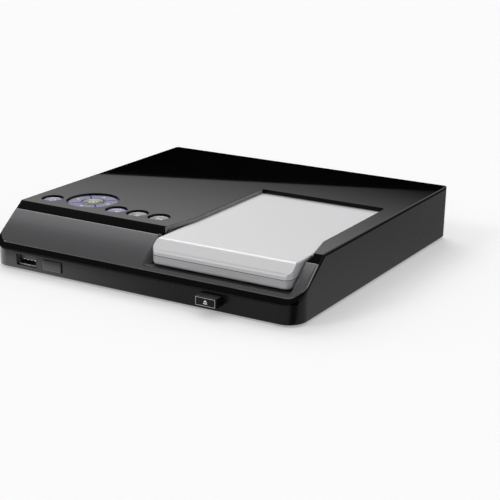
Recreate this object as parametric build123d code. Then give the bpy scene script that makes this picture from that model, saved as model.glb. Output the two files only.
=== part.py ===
from build123d import *

import os
from math import atan, cos, degrees, radians, sin, tan

# A home media player: a low wide box with a wedge front. A portable hard drive lies in an open bay in
# its right half. Pushing the button in the fascia turns a rocker, which pulls a sled forward, and the
# sled's fingers push the drive off its connector. +X is the player's right, +Y its back, +Z is up.
# All sizes are in millimetres, and heights are above the surface that the feet stand on.

# ---- housing ----------------------------------------------------------------------------------
HOUSING_WIDTH = 192.0
HOUSING_DEPTH = 182.8
HOUSING_HEIGHT = 30.3
FOOT_HEIGHT = 1.2
FRONT_CORNER = 10.0
BACK_CORNER = 5.0
DRAFT = 1.0
WALL = 2.2
FLOOR = 2.0
BOTTOM_ROUND = 0.8
LID_FIT = 0.1

# ---- lid, front slope and panel -----------------------------------------------------------------
SLOPE = 38.0
PLATE_SETBACK = 24.4
PANEL_TOP_SETBACK = 21.4
PANEL_TOP_DROP = 2.9
PANEL_FOOT_SETBACK = 3.4
PANEL_THICK = 1.2
PANEL_PROUD = 0.5
PANEL_SIDE_INSET = 0.6
PANEL_CORNER = 8.5
PANEL_CROWN = 0.25
PANEL_TOP_ROUND = 0.4
CROWN_ROOM = 0.02
SLOPE_ROUND = 2.4
PLATE_ROUND = 1.3
LIP = 2.45
BED_THICK = 1.9
PLATE_THICK = 2.0
PLATE_EDGE = 1.4
FASCIA_HEIGHT = 10.4
FASCIA_CHAMFER = 0.4
BAND_SETBACK = 0.6

# ---- bay mouth in the lid -----------------------------------------------------------------------
MOUTH_LEFT_COVER = 1.3
MOUTH_RIGHT_COVER = 2.7
MOUTH_BACK_SETBACK = 118.0
FLARE_SETBACK = 45.6
FLARE_LEFT = 4.1
FLARE_RIGHT = 5.4
MOUTH_CORNER = 1.5
BED_MOUTH_GAP = 1.3
PANEL_MOUTH_GAP = 4.4
EDGE_CHAMFER = 0.4
CHAMFER_ANGLE = 45.0
LEDGE_SETBACK = 5.1

# ---- drive --------------------------------------------------------------------------------------
DRIVE_WIDTH = 82.0
DRIVE_LENGTH = 130.0
DRIVE_THICK = 12.5
DRIVE_SIDE_SETBACK = 49.0
DRIVE_SETBACK = 6.6
DRIVE_CLEARANCE = 0.3
DRIVE_CORNER = 4.0
DRIVE_SHELL = 1.5
DRIVE_PARTING = 4.9
DRIVE_SEAM = 0.2
DRIVE_NOSE_RISE = 7.2
DRIVE_NOSE_LENGTH = 7.3
DRIVE_NOSE_ROUND = 3.0
DRIVE_BEAD_ROUND = 3.5
DRIVE_SIDE_ROUND = 1.2
DRIVE_BELLY_ROUND = 1.6
DISK_WIDTH = 69.85
DISK_LENGTH = 100.0
DISK_THICK = 8.4
SOCKET_HEIGHT = 7.0
SOCKET_WIDTH = 8.4
SOCKET_TALL = 4.0
SOCKET_DEEP = 7.0
SOCKET_METAL = 0.4
PLUG_WIDTH = 6.6
PLUG_TALL = 2.2
PLUG_LENGTH = 6.0

# ---- bay liner ----------------------------------------------------------------------------------
LINER_WALL = 1.5
LINER_SIDE_GAP = 0.4
RAIL_HEIGHT = 0.5
RAIL_WIDTH = 3.0
RAIL_INSET = 12.0
LINER_BACK_GAP = 3.2
FINGER_GAP = 0.3

# ---- eject train --------------------------------------------------------------------------------
BUTTON_OFFSET = 0.9
BUTTON_WIDTH = 12.2
BUTTON_TALL = 5.0
BUTTON_HEIGHT = 6.4
BUTTON_PROUD = 6.4
BUTTON_ROUND = 0.5
BUTTON_GAP = 0.3
BUTTON_TRAVEL = 5.5
FLANGE_WIDTH = 15.0
FLANGE_TALL = 7.0
FLANGE_THICK = 1.5
ROD_WIDTH = 4.0
ROD_TALL = 3.0
ROD_DROP = 0.3
DRIVE_PIN_RADIUS = 1.2
PIN_PLAY = 0.15
ROCKER_SETBACK = 45.0
ROCKER_SHORT = 8.0
ROCKER_LONG = 20.0
ROCKER_THICK = 2.0
ROCKER_WIDE = 6.0
HUB_RADIUS = 4.0
PIVOT_RADIUS = 1.5
PIVOT_PLAY = 0.05
PIVOT_HEAD_RADIUS = 2.8
PIVOT_HEAD = 0.6
BOSS_RADIUS = 3.5
RUN_GAP = 0.3
SLED_WIDTH = 64.0
SLED_THICK = 1.6
SLED_OFFSET = 3.0
SLED_FRONT_SETBACK = 49.0
FINGER_SPREAD = 24.0
FINGER_WIDTH = 5.0
FINGER_THICK = 1.6
FINGER_HEIGHT = 9.0
GUIDE_WALL = 1.2
GUIDE_LIP = 2.0
GUIDE_RIB_SETBACK = 24.6
GUIDE_RIB_THICK = 2.4
GUIDE_RIB_WIDTH = 12.0
SPRING_WIRE = 0.35
SPRING_RADIUS = 3.15
SPRING_TURNS = 6

# ---- keys on the lid ----------------------------------------------------------------------------
KEY_SETBACK = 38.6
KEY_RADIUS_SHARE = 0.0539
WELL_GAP = 0.45
KEY_SINK = 0.95
KEY_ROUND = 0.5
KEY_DISH = 0.4
KEY_RIM = 0.1
KEY_TRAVEL = 0.7
KEY_FLANGE = 1.0
KEY_FLANGE_THICK = 1.0
POWER_SHARE = 0.1245
RING_SHARE = 0.3402
BACK_KEY_SHARE = 0.5608
MENU_KEY_SHARE = 0.7
PLAY_KEY_SHARE = 0.8392
RING_SETBACK = 47.0
RING_RADIUS_SHARE = 0.1382
RING_WIDTH = 7.2
RING_SPLIT = 0.9
OK_GAP = 0.8
OK_RISE = 0.2
STEM_RADIUS = 1.6
BOARD_THICK = 1.6
SWITCH_SIDE = 6.0
SWITCH_BODY = 3.4
SWITCH_TIP = 0.8
SWITCH_TIP_RADIUS = 1.7
STEM_GAP = 0.1
BUTTON_BOARD_DROP = 12.0
BUTTON_BOARD_DEPTH = 36.0
POST_RADIUS = 2.2

# ---- fascia fittings ----------------------------------------------------------------------------
USB_SIDE_SETBACK = 24.6
USB_HEIGHT = 5.6
USB_WIDTH = 13.1
USB_TALL = 5.7
USB_DEEP = 14.0
USB_METAL = 0.35
USB_GAP = 0.3
USB_SINK = 1.5
TONGUE_WIDTH = 11.1
TONGUE_TALL = 1.9
TONGUE_RISE = 1.0
TONGUE_SINK = 1.2
CONTACT_WIDTH = 1.0
CONTACT_TALL = 0.3
CONTACT_PITCH = 2.5
CONTACT_COUNT = 4
WINDOW_SIDE_SETBACK = 42.8
WINDOW_HEIGHT = 5.6
WINDOW_WIDTH = 12.4
WINDOW_TALL = 5.5
WINDOW_PROUD = 1.0
WINDOW_LIP = 0.8
WINDOW_ROUND = 0.5
WINDOW_SEAT = 1.0
WINDOW_GAP = 0.25

# ---- electronics and back connectors ------------------------------------------------------------
BOARD_LIFT = 4.0
BOARD_EDGE = 3.0
BOARD_FRONT_SETBACK = 26.0
BOARD_BAY_GAP = 4.1
BOARD_SHELF_DEPTH = 30.0
PORT_PROUD = 0.8
PORT_GAP = 0.2
AV_PROUD = 8.4
POWER_JACK_PLACE = 16.0
HDMI_PLACE = 36.0
OPTICAL_PLACE = 54.0
AV_PLACE = 84.0
AV_PITCH = 14.0
AV_COUNT = 3
AV_RADIUS = 4.15
AV_BORE = 1.7
AV_RING = 5.2
NETWORK_PLACE = 120.0
POWER_JACK_WIDTH = 9.0
POWER_JACK_TALL = 11.0
POWER_BORE = 2.8
POWER_PIN = 1.0
HDMI_WIDTH = 15.0
HDMI_TALL = 6.2
HDMI_METAL = 0.5
OPTICAL_SIDE = 9.8
OPTICAL_BORE = 6.6
OPTICAL_DEEP = 1.2
NETWORK_WIDTH = 16.0
NETWORK_TALL = 13.4
NETWORK_MOUTH = 11.8
NETWORK_MOUTH_TALL = 8.2
NETWORK_DEEP = 12.0
NETWORK_LATCH = 6.0
PORT_DEEP = 14.0
PROCESSOR_SETBACK = 100.0
PROCESSOR_SIDE = 19.0
PROCESSOR_TALL = 1.6
SINK_SIDE = 27.0
SINK_BASE = 2.0
SINK_TALL = 8.0
FIN_COUNT = 7
FIN_THICK = 1.2
MEMORY_SIZE = (8.0, 12.0, 1.2)
MEMORY_PITCH = 12.0
MEMORY_SIDE_SETBACK = 18.0
MEMORY_COUNT = 4
MEMORY_SETBACK = 82.0
CAPACITOR_RADIUS = 3.2
CAPACITOR_TALL = 7.0
CAPACITOR_COUNT = 5
CAPACITOR_PITCH = 9.0
CAPACITOR_SIDE_SETBACK = 12.0
CAPACITOR_BACK_SETBACK = 32.8

# ---- feet, screws and vents ---------------------------------------------------------------------
FOOT_SIDE_SETBACK = 25.0
FOOT_FRONT_SETBACK = 20.0
FOOT_BACK_SETBACK = 22.8
FOOT_RADIUS = 6.0
FOOT_RECESS = 0.8
SCREW_RADIUS = 1.3
SCREW_HEAD_RADIUS = 2.5
SCREW_HEAD = 1.2
SCREW_BITE = 6.0
SCREW_BOSS_RADIUS = 3.2
SCREW_INSET = 8.0
LINER_SCREW_SIDE = 11.5
LINER_SCREW_SETBACK = 18.0
FRONT_SCREW_SETBACK = 76.0
VENT_COUNT = 9
VENT_PITCH = 5.0
VENT_LENGTH = 26.0
VENT_WIDTH = 2.0
VENT_SETBACK = 110.0

# ---- places worked out from the sizes above -----------------------------------------------------
REACH = 300.0
MARGIN = 5.0
FRONT_Y = BUTTON_PROUD - (BUTTON_PROUD + HOUSING_DEPTH + AV_PROUD) / 2
BACK_Y = FRONT_Y + HOUSING_DEPTH
BASE_Z = FOOT_HEIGHT
FLOOR_Z = BASE_Z + FLOOR
TOP_Z = BASE_Z + HOUSING_HEIGHT
UNDER_Z = TOP_Z - PLATE_THICK
SPLIT_Z = TOP_Z - PLATE_EDGE
FASCIA_Z = BASE_Z + FASCIA_HEIGHT
GROWTH = HOUSING_HEIGHT * tan(radians(DRAFT))
PLATE_Y = FRONT_Y + PLATE_SETBACK
PANEL_TOP_Y = FRONT_Y + PANEL_TOP_SETBACK
PANEL_TOP_Z = TOP_Z - PANEL_TOP_DROP
PANEL_FOOT_Y = FRONT_Y + PANEL_FOOT_SETBACK
PANEL_MIDDLE_Y = (PANEL_FOOT_Y + PANEL_TOP_Y) / 2
LEDGE_Y = FRONT_Y + LEDGE_SETBACK
MOUTH_BACK_Y = FRONT_Y + MOUTH_BACK_SETBACK
FLARE_Y = FRONT_Y + FLARE_SETBACK

LEFT_X = -HOUSING_WIDTH / 2
RIGHT_X = HOUSING_WIDTH / 2
DRIVE_CENTRE = RIGHT_X - DRIVE_SIDE_SETBACK
DRIVE_TOP_Z = UNDER_Z - DRIVE_CLEARANCE
DRIVE_Z = DRIVE_TOP_Z - DRIVE_THICK
DRIVE_FRONT_Y = FRONT_Y + DRIVE_SETBACK
DRIVE_BACK_Y = DRIVE_FRONT_Y + DRIVE_LENGTH
DRIVE_LEFT = DRIVE_CENTRE - DRIVE_WIDTH / 2
DRIVE_RIGHT = DRIVE_CENTRE + DRIVE_WIDTH / 2
PARTING_Z = DRIVE_Z + DRIVE_PARTING
SOCKET_Z = DRIVE_Z + SOCKET_HEIGHT
MOUTH_LEFT = DRIVE_LEFT + MOUTH_LEFT_COVER
MOUTH_RIGHT = DRIVE_RIGHT - MOUTH_RIGHT_COVER
BED_MOUTH_RIGHT = DRIVE_RIGHT + BED_MOUTH_GAP
PANEL_MOUTH_LEFT = DRIVE_LEFT - PANEL_MOUTH_GAP

LINER_TOP_Z = DRIVE_Z - DRIVE_CLEARANCE - RAIL_HEIGHT
LINER_Z = LINER_TOP_Z - LINER_WALL
LINER_LEFT = DRIVE_LEFT - LINER_SIDE_GAP
LINER_RIGHT = DRIVE_RIGHT + LINER_SIDE_GAP
LINER_BACK_Y = DRIVE_BACK_Y + LINER_BACK_GAP

BUTTON_X = DRIVE_CENTRE + BUTTON_OFFSET
SLED_CENTRE = DRIVE_CENTRE + SLED_OFFSET
BUTTON_Z = BASE_Z + BUTTON_HEIGHT
ROD_TOP_Z = BUTTON_Z + ROD_TALL / 2 - ROD_DROP
ROCKER_Z = ROD_TOP_Z + RUN_GAP
ROCKER_TOP_Z = ROCKER_Z + ROCKER_THICK
ROCKER_X = BUTTON_X + ROCKER_SHORT
ROCKER_Y = FRONT_Y + ROCKER_SETBACK
ROCKER_REST = degrees(atan(BUTTON_TRAVEL / 2 / ROCKER_SHORT))
SLED_TRAVEL = 2 * ROCKER_LONG * sin(radians(ROCKER_REST))
SLED_TOP_Z = LINER_Z - RUN_GAP
SLED_Z = SLED_TOP_Z - SLED_THICK
SLED_FRONT_Y = FRONT_Y + SLED_FRONT_SETBACK
FINGER_Y = DRIVE_BACK_Y + FINGER_GAP
GUIDE_RIB_Y = FRONT_Y + GUIDE_RIB_SETBACK
FLANGE_Y = FRONT_Y + WALL + RUN_GAP

KEY_SPACE = DRIVE_LEFT - LEFT_X
KEY_RADIUS = KEY_SPACE * KEY_RADIUS_SHARE
RING_RADIUS = KEY_SPACE * RING_RADIUS_SHARE
RING_BORE = RING_RADIUS - RING_WIDTH
OK_RADIUS = RING_BORE - OK_GAP
POWER_X = LEFT_X + KEY_SPACE * POWER_SHARE
RING_X = LEFT_X + KEY_SPACE * RING_SHARE
BACK_KEY_X = LEFT_X + KEY_SPACE * BACK_KEY_SHARE
MENU_KEY_X = LEFT_X + KEY_SPACE * MENU_KEY_SHARE
PLAY_KEY_X = LEFT_X + KEY_SPACE * PLAY_KEY_SHARE
KEY_TOP_Z = TOP_Z - KEY_SINK
KEY_FLANGE_TOP_Z = UNDER_Z - RUN_GAP
KEY_Y = FRONT_Y + KEY_SETBACK
RING_Y = FRONT_Y + RING_SETBACK
BUTTON_BOARD_Z = TOP_Z - BUTTON_BOARD_DROP
SWITCH_TOP_Z = BUTTON_BOARD_Z + SWITCH_BODY + SWITCH_TIP
STEM_Z = SWITCH_TOP_Z + KEY_TRAVEL + STEM_GAP
ROUND_KEYS = {
    "power_key": POWER_X,
    "back_key": BACK_KEY_X,
    "menu_key": MENU_KEY_X,
    "play_key": PLAY_KEY_X,
}
RING_KEYS = {"nav_right_key": 0, "nav_up_key": 90, "nav_left_key": 180, "nav_down_key": 270}

USB_X = LEFT_X + USB_SIDE_SETBACK
WINDOW_X = LEFT_X + WINDOW_SIDE_SETBACK
FOOT_X = RIGHT_X - FOOT_SIDE_SETBACK
LINER_SCREW_X = RIGHT_X - LINER_SCREW_SIDE
BOARD_RIGHT = LINER_LEFT - LINER_WALL - BOARD_BAY_GAP
BOARD_MIDDLE_X = (LEFT_X + DRIVE_LEFT) / 2
MEMORY_X = LEFT_X + MEMORY_SIDE_SETBACK
CAPACITOR_X = LEFT_X + CAPACITOR_SIDE_SETBACK
CAPACITOR_Y = BACK_Y - CAPACITOR_BACK_SETBACK
POWER_JACK_X = LEFT_X + POWER_JACK_PLACE
HDMI_X = LEFT_X + HDMI_PLACE
OPTICAL_X = LEFT_X + OPTICAL_PLACE
AV_X = LEFT_X + AV_PLACE
NETWORK_X = LEFT_X + NETWORK_PLACE
USB_Z = BASE_Z + USB_HEIGHT
WINDOW_Z = BASE_Z + WINDOW_HEIGHT
BOARD_Z = FLOOR_Z + BOARD_LIFT
BOARD_TOP_Z = BOARD_Z + BOARD_THICK
PORT_FACE_Y = BACK_Y + PORT_PROUD
SCREW_HEAD_Z = BASE_Z + SCREW_HEAD


# ---- helpers ------------------------------------------------------------------------------------
def block(x_range, y_range, z_range):
    """A box between its low and high x, y and z."""
    spans = (x_range, y_range, z_range)
    sizes = [high - low for low, high in spans]
    centre = [(high + low) / 2 for low, high in spans]
    return Pos(*centre) * Box(*sizes)


def around(centre, size):
    """The low and high end of a size that is centred on a place."""
    return centre - size / 2, centre + size / 2


def post(x, y, radius, z_low, z_high):
    """An upright cylinder."""
    return Pos(x, y, (z_low + z_high) / 2) * Cylinder(radius, z_high - z_low)


def barrel(x, z, radius, y_low, y_high):
    """A cylinder that lies from front to back."""
    return Pos(x, (y_low + y_high) / 2, z) * Rot(90, 0, 0) * Cylinder(radius, y_high - y_low)


def side_prism(points, rounded=None, radius=0.0, through=None):
    """An outline of (y, z) points run from side to side. One corner can be rounded, and the side from
    the last point to the first can be an arc through a place."""
    outline = Polyline(*points) + ThreePointArc(points[-1], through, points[0]) if through else None
    outline = make_face(outline or Polyline(*points, close=True))
    if rounded:
        corner = outline.vertices().sort_by_distance((*rounded, 0))[0]
        outline = fillet(corner, radius)
    return extrude(Plane.YZ * outline, REACH, both=True)


def rounded_slab(origin, along, half_width, radius):
    """A deep slab whose top face holds the origin, with both long top edges rounded."""
    section = Rectangle(2 * half_width, REACH, align=(Align.CENTER, Align.MAX))
    section = fillet(section.vertices().group_by(Axis.Y)[-1], radius)
    plane = Plane(origin=origin, x_dir=(1, 0, 0), z_dir=along)
    return extrude(plane * section, REACH, both=True)


def rounded_plan(x_range, y_range, front_round, back_round):
    """A rectangle seen from above, with its own radius at the front and at the back corners."""
    width = x_range[1] - x_range[0]
    depth = y_range[1] - y_range[0]
    centre = Pos((x_range[0] + x_range[1]) / 2, (y_range[0] + y_range[1]) / 2)
    outline = centre * Rectangle(width, depth)
    outline = fillet(outline.vertices().group_by(Axis.Y)[0], front_round)
    return fillet(outline.vertices().group_by(Axis.Y)[-1], back_round)


def slope_height(y, drop=0.0):
    """Height of the front slope at y, or of a plane that lies below it, measured square to it."""
    return PANEL_TOP_Z + (y - PANEL_TOP_Y) * tan(radians(SLOPE)) - drop / cos(radians(SLOPE))


def slope_place(z, drop=0.0):
    """The y at which the front slope, or a plane that lies below it, comes to a height."""
    return PANEL_TOP_Y + (z - PANEL_TOP_Z + drop / cos(radians(SLOPE))) / tan(radians(SLOPE))


def outer_body(inset):
    """The housing's drafted outside from its bottom up, drawn in by an inset."""
    x_range = (inset - HOUSING_WIDTH / 2, HOUSING_WIDTH / 2 - inset)
    back_round = max(BACK_CORNER - inset, BOTTOM_ROUND)
    outline = rounded_plan(x_range, (FRONT_Y + inset, BACK_Y - inset), FRONT_CORNER - inset, back_round)
    return extrude(Pos(0, 0, BASE_Z) * outline, HOUSING_HEIGHT, taper=-DRAFT)


def slope_slab(drop):
    """Everything under the front slope, or under a plane below it, with its side edges rounded."""
    origin = (0, PANEL_TOP_Y, slope_height(PANEL_TOP_Y, drop))
    along = (0, -cos(radians(SLOPE)), -sin(radians(SLOPE)))
    return rounded_slab(origin, along, HOUSING_WIDTH / 2 + GROWTH, SLOPE_ROUND - drop)


# ---- the lid ------------------------------------------------------------------------------------
def mouth_cut():
    """The bay's opening through the lid: straight at the back, flared towards the front."""
    plate_left = MOUTH_LEFT - FLARE_LEFT
    plate_right = MOUTH_RIGHT + FLARE_RIGHT
    points = [
        (MOUTH_LEFT, MOUTH_BACK_Y),
        (MOUTH_LEFT, FLARE_Y),
        (plate_left, PLATE_Y),
        (plate_left, LEDGE_Y),
        (BED_MOUTH_RIGHT, LEDGE_Y),
        (BED_MOUTH_RIGHT, PANEL_TOP_Y),
        (plate_right, PLATE_Y),
        (MOUTH_RIGHT, FLARE_Y),
        (MOUTH_RIGHT, MOUTH_BACK_Y),
    ]
    outline = make_face(Polyline(*points, close=True))
    outline = fillet(outline.vertices().group_by(Axis.Y)[-1], MOUTH_CORNER)
    cut = extrude(Pos(0, 0, FASCIA_Z) * outline, HOUSING_HEIGHT)
    flare = Pos(0, 0, TOP_Z - EDGE_CHAMFER) * outline
    return cut + extrude(flare, 2 * EDGE_CHAMFER, taper=-CHAMFER_ANGLE)


def crown_point(y):
    """A point on the panel's slightly crowned surface."""
    share = (y - PANEL_MIDDLE_Y) / (PANEL_TOP_Y - PANEL_MIDDLE_Y)
    return y, slope_height(y, CROWN_ROOM + PANEL_CROWN * share**2)


def front_panel():
    """The U-shaped inlay on the slope, which follows the rounded side edges part of the way down."""
    half_width = HOUSING_WIDTH / 2 + GROWTH - PANEL_SIDE_INSET
    back_y = PLATE_Y + MARGIN
    outline = rounded_plan((-half_width, half_width), (PANEL_FOOT_Y, back_y), PANEL_CORNER, BOTTOM_ROUND)
    inlay = extrude(Pos(0, 0, BASE_Z) * outline, HOUSING_HEIGHT + MARGIN) & slope_slab(0)
    top = crown_point(PANEL_TOP_Y)
    foot = crown_point(PANEL_FOOT_Y - MARGIN)
    layer = [
        top,
        (PANEL_TOP_Y, slope_height(PANEL_TOP_Y, PANEL_THICK)),
        (foot[0], slope_height(foot[0], PANEL_THICK + PANEL_CROWN)),
        foot,
    ]
    inlay = inlay & side_prism(layer, top, PANEL_TOP_ROUND, crown_point(PANEL_MIDDLE_Y))
    mouth = rounded_plan((PANEL_MOUTH_LEFT, BED_MOUTH_RIGHT), (LEDGE_Y, back_y), MOUTH_CORNER, BOTTOM_ROUND)
    return inlay - extrude(Pos(0, 0, BASE_Z) * mouth, HOUSING_HEIGHT + MARGIN)


def key_wells():
    """The holes in the lid that the keys stand in, each with a chamfered rim."""
    places = [(x, KEY_Y, KEY_RADIUS + WELL_GAP) for x in ROUND_KEYS.values()]
    places.append((RING_X, RING_Y, RING_RADIUS + WELL_GAP))
    wells = []
    for x, y, radius in places:
        flare = Pos(x, y, TOP_Z) * Cone(radius, radius + 2 * EDGE_CHAMFER, 2 * EDGE_CHAMFER)
        wells.append(post(x, y, radius, UNDER_Z - MARGIN, TOP_Z + MARGIN) + flare)
    return wells


def board_posts():
    """Places of the posts under the lid that hold the button board."""
    front = KEY_Y + 2 * KEY_RADIUS
    left = POWER_X - KEY_RADIUS + POST_RADIUS
    return [(left, front + KEY_RADIUS), (BACK_KEY_X, front), (PLAY_KEY_X, front)]


def lid_screws():
    """Places of the screws that pull the lid down on the housing."""
    side = HOUSING_WIDTH / 2 - SCREW_INSET
    back = BACK_Y - SCREW_INSET
    return [(-side, back), (side, back), (-side, FRONT_Y + FRONT_SCREW_SETBACK)]


def top_shell(panel):
    """The glossy lid: plate, bevel, the bed under the panel and the lip that shows at the sides."""
    front = FRONT_Y + BAND_SETBACK
    back_edge = (BACK_Y + GROWTH, TOP_Z)
    above_split = [
        (front, FASCIA_Z),
        (slope_place(FASCIA_Z, LIP), FASCIA_Z),
        (slope_place(SPLIT_Z, LIP), SPLIT_Z),
        (BACK_Y + GROWTH, SPLIT_Z),
        back_edge,
        (PLATE_Y, TOP_Z),
        (PANEL_TOP_Y, slope_height(PANEL_TOP_Y, PANEL_PROUD)),
        (front, slope_height(front, PANEL_PROUD)),
    ]
    half_width = HOUSING_WIDTH / 2 + GROWTH
    plate_slab = rounded_slab((0, 0, TOP_Z), (0, -1, 0), half_width, PLATE_ROUND)
    shell = outer_body(0) & side_prism(above_split, back_edge, PLATE_ROUND) & plate_slab
    shell = shell & slope_slab(PANEL_PROUD)
    under_plate = [
        (slope_place(UNDER_Z, BED_THICK + PANEL_PROUD), UNDER_Z),
        (BACK_Y + MARGIN, UNDER_Z),
        (BACK_Y + MARGIN, SPLIT_Z),
        (slope_place(SPLIT_Z, BED_THICK + PANEL_PROUD), SPLIT_Z),
    ]
    shell += outer_body(WALL + LID_FIT) & side_prism(under_plate)
    for x, y in board_posts():
        shell += post(x, y, POST_RADIUS, BUTTON_BOARD_Z, UNDER_Z)
    for x, y in lid_screws():
        boss = post(x, y, SCREW_BOSS_RADIUS, FLOOR_Z + SCREW_HEAD, UNDER_Z)
        shell += boss - post(x, y, SCREW_RADIUS, BASE_Z, FLOOR_Z + SCREW_HEAD + SCREW_BITE)
    shell -= mouth_cut()
    for well in key_wells():
        shell -= well
    return shell - panel


# ---- the lower housing --------------------------------------------------------------------------
def foot_places():
    """Centres of the four feet."""
    rows = (FRONT_Y + FOOT_FRONT_SETBACK, BACK_Y - FOOT_BACK_SETBACK)
    return [(x, y) for y in rows for x in (-FOOT_X, FOOT_X)]


def port_holes():
    """The holes in the back wall, one for each connector."""
    y_range = (BACK_Y - WALL - MARGIN, BACK_Y + MARGIN)
    holes = []
    for x, width, z_low, z_high in port_sizes().values():
        x_range = around(x, width + 2 * PORT_GAP)
        holes.append(block(x_range, y_range, (z_low - PORT_GAP, z_high + PORT_GAP)))
    for x in av_places():
        holes.append(barrel(x, av_height(), AV_RING + PORT_GAP, *y_range))
    return holes


def lower_housing():
    """The satin tray: fascia, side walls, back wall and floor, with what is moulded on the floor."""
    body = outer_body(0)
    body = fillet(body.edges().group_by(Axis.Z)[0], BOTTOM_ROUND)
    below_split = [
        (FRONT_Y - MARGIN, BASE_Z - MARGIN),
        (FRONT_Y - MARGIN, FASCIA_Z - FASCIA_CHAMFER - MARGIN),
        (FRONT_Y + FASCIA_CHAMFER, FASCIA_Z),
        (slope_place(FASCIA_Z, LIP), FASCIA_Z),
        (slope_place(SPLIT_Z, LIP), SPLIT_Z),
        (BACK_Y + MARGIN, SPLIT_Z),
        (BACK_Y + MARGIN, BASE_Z - MARGIN),
    ]
    body = body & side_prism(below_split)
    body -= outer_body(WALL) & block((-REACH, REACH), (-REACH, REACH), (FLOOR_Z, REACH))
    fascia = (FRONT_Y - MARGIN, FRONT_Y + WALL + MARGIN)
    usb_width = around(USB_X, USB_WIDTH + 2 * USB_GAP)
    body -= block(usb_width, fascia, around(USB_Z, USB_TALL + 2 * USB_GAP))
    window_width = around(WINDOW_X, WINDOW_WIDTH - 2 * WINDOW_LIP)
    body -= block(window_width, fascia, around(WINDOW_Z, WINDOW_TALL - 2 * WINDOW_LIP))
    seat = (FRONT_Y - MARGIN, FRONT_Y + WINDOW_SEAT)
    seat_width = around(WINDOW_X, WINDOW_WIDTH + 2 * WINDOW_GAP)
    body -= block(seat_width, seat, around(WINDOW_Z, WINDOW_TALL + 2 * WINDOW_GAP))
    button_width = around(BUTTON_X, BUTTON_WIDTH + 2 * BUTTON_GAP)
    body -= block(button_width, fascia, around(BUTTON_Z, BUTTON_TALL + 2 * BUTTON_GAP))
    for hole in port_holes():
        body -= hole
    for x, y in foot_places():
        body -= post(x, y, FOOT_RADIUS, BASE_Z - MARGIN, BASE_Z + FOOT_RECESS)
    for number in range(VENT_COUNT):
        x = BOARD_MIDDLE_X + (number - (VENT_COUNT - 1) / 2) * VENT_PITCH
        slot = SlotOverall(VENT_LENGTH, VENT_WIDTH, rotation=90)
        body -= extrude(Pos(x, FRONT_Y + VENT_SETBACK, BASE_Z - MARGIN) * slot, 2 * MARGIN)
    for x, y in lid_screws() + [liner_screw()]:
        body += post(x, y, SCREW_BOSS_RADIUS, FLOOR_Z, FLOOR_Z + SCREW_HEAD)
        body -= post(x, y, SCREW_RADIUS, BASE_Z - MARGIN, REACH / 2)
        body -= post(x, y, SCREW_HEAD_RADIUS, BASE_Z - MARGIN, SCREW_HEAD_Z)
    for x, y in standoff_places():
        body += post(x, y, POST_RADIUS, FLOOR_Z, BOARD_Z)
    body += post(ROCKER_X, ROCKER_Y, BOSS_RADIUS, FLOOR_Z, ROCKER_Z - RUN_GAP)
    body -= post(ROCKER_X, ROCKER_Y, PIVOT_RADIUS, FLOOR_Z, ROCKER_Z)
    rib_height = (FLOOR_Z, ROD_TOP_Z + 2 * RUN_GAP)
    rib_depth = (GUIDE_RIB_Y, GUIDE_RIB_Y + GUIDE_RIB_THICK)
    rib = block(around(BUTTON_X, GUIDE_RIB_WIDTH), rib_depth, rib_height)
    gate_z = (ROD_TOP_Z - ROD_TALL - RUN_GAP, ROD_TOP_Z + MARGIN)
    return body + (rib - block(around(BUTTON_X, ROD_WIDTH + 2 * RUN_GAP), rib_depth, gate_z))


# ---- keys, switches and their board -------------------------------------------------------------
def stem(x, y, z_top):
    """The leg of a key, which presses its switch."""
    return post(x, y, STEM_RADIUS, STEM_Z, z_top)


def dish(x, y, z_top, radius):
    """The hollow for a fingertip in the top of a round key."""
    half = radius - KEY_ROUND - KEY_RIM
    ball = (half**2 + KEY_DISH**2) / (2 * KEY_DISH)
    return Pos(x, y, z_top + ball - KEY_DISH) * Sphere(ball)


def round_key(x):
    """A round key with a softened rim and a dished top, its retaining flange and its stem."""
    cap = post(x, KEY_Y, KEY_RADIUS, KEY_FLANGE_TOP_Z, KEY_TOP_Z)
    cap = fillet(cap.edges().group_by(Axis.Z)[-1], KEY_ROUND)
    cap -= dish(x, KEY_Y, KEY_TOP_Z, KEY_RADIUS)
    flange_z = KEY_FLANGE_TOP_Z - KEY_FLANGE_THICK
    flange = post(x, KEY_Y, KEY_RADIUS + KEY_FLANGE, flange_z, KEY_FLANGE_TOP_Z)
    return cap + flange + stem(x, KEY_Y, flange_z)


def ring_key(angle):
    """One quarter of the ring round the middle key."""
    flange_z = KEY_FLANGE_TOP_Z - KEY_FLANGE_THICK
    ring = post(0, 0, RING_RADIUS, KEY_FLANGE_TOP_Z, KEY_TOP_Z)
    ring = fillet(ring.edges().group_by(Axis.Z)[-1], KEY_ROUND)
    ring += post(0, 0, RING_RADIUS + KEY_FLANGE, flange_z, KEY_FLANGE_TOP_Z)
    ring -= post(0, 0, RING_BORE, BASE_Z, REACH / 2)
    corner = RING_SPLIT / 2 * 2**0.5
    wedge = make_face(Polyline((corner, 0), (REACH, REACH - corner), (REACH, corner - REACH), close=True))
    quarter = ring & extrude(wedge, REACH / 2)
    quarter += stem((RING_RADIUS + RING_BORE) / 2, 0, flange_z)
    return Pos(RING_X, RING_Y, 0) * Rot(0, 0, angle) * quarter


def ok_key():
    """The middle key, held from below by the ring's keys."""
    top_z = KEY_TOP_Z + OK_RISE
    flange_top = KEY_FLANGE_TOP_Z - KEY_FLANGE_THICK - KEY_TRAVEL - RUN_GAP
    cap = post(RING_X, RING_Y, OK_RADIUS, flange_top, top_z)
    cap = fillet(cap.edges().group_by(Axis.Z)[-1], KEY_ROUND)
    cap -= dish(RING_X, RING_Y, top_z, OK_RADIUS)
    flange = post(RING_X, RING_Y, OK_RADIUS + KEY_FLANGE, flange_top - KEY_FLANGE_THICK, flange_top)
    return cap + flange + stem(RING_X, RING_Y, flange_top - KEY_FLANGE_THICK)


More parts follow.
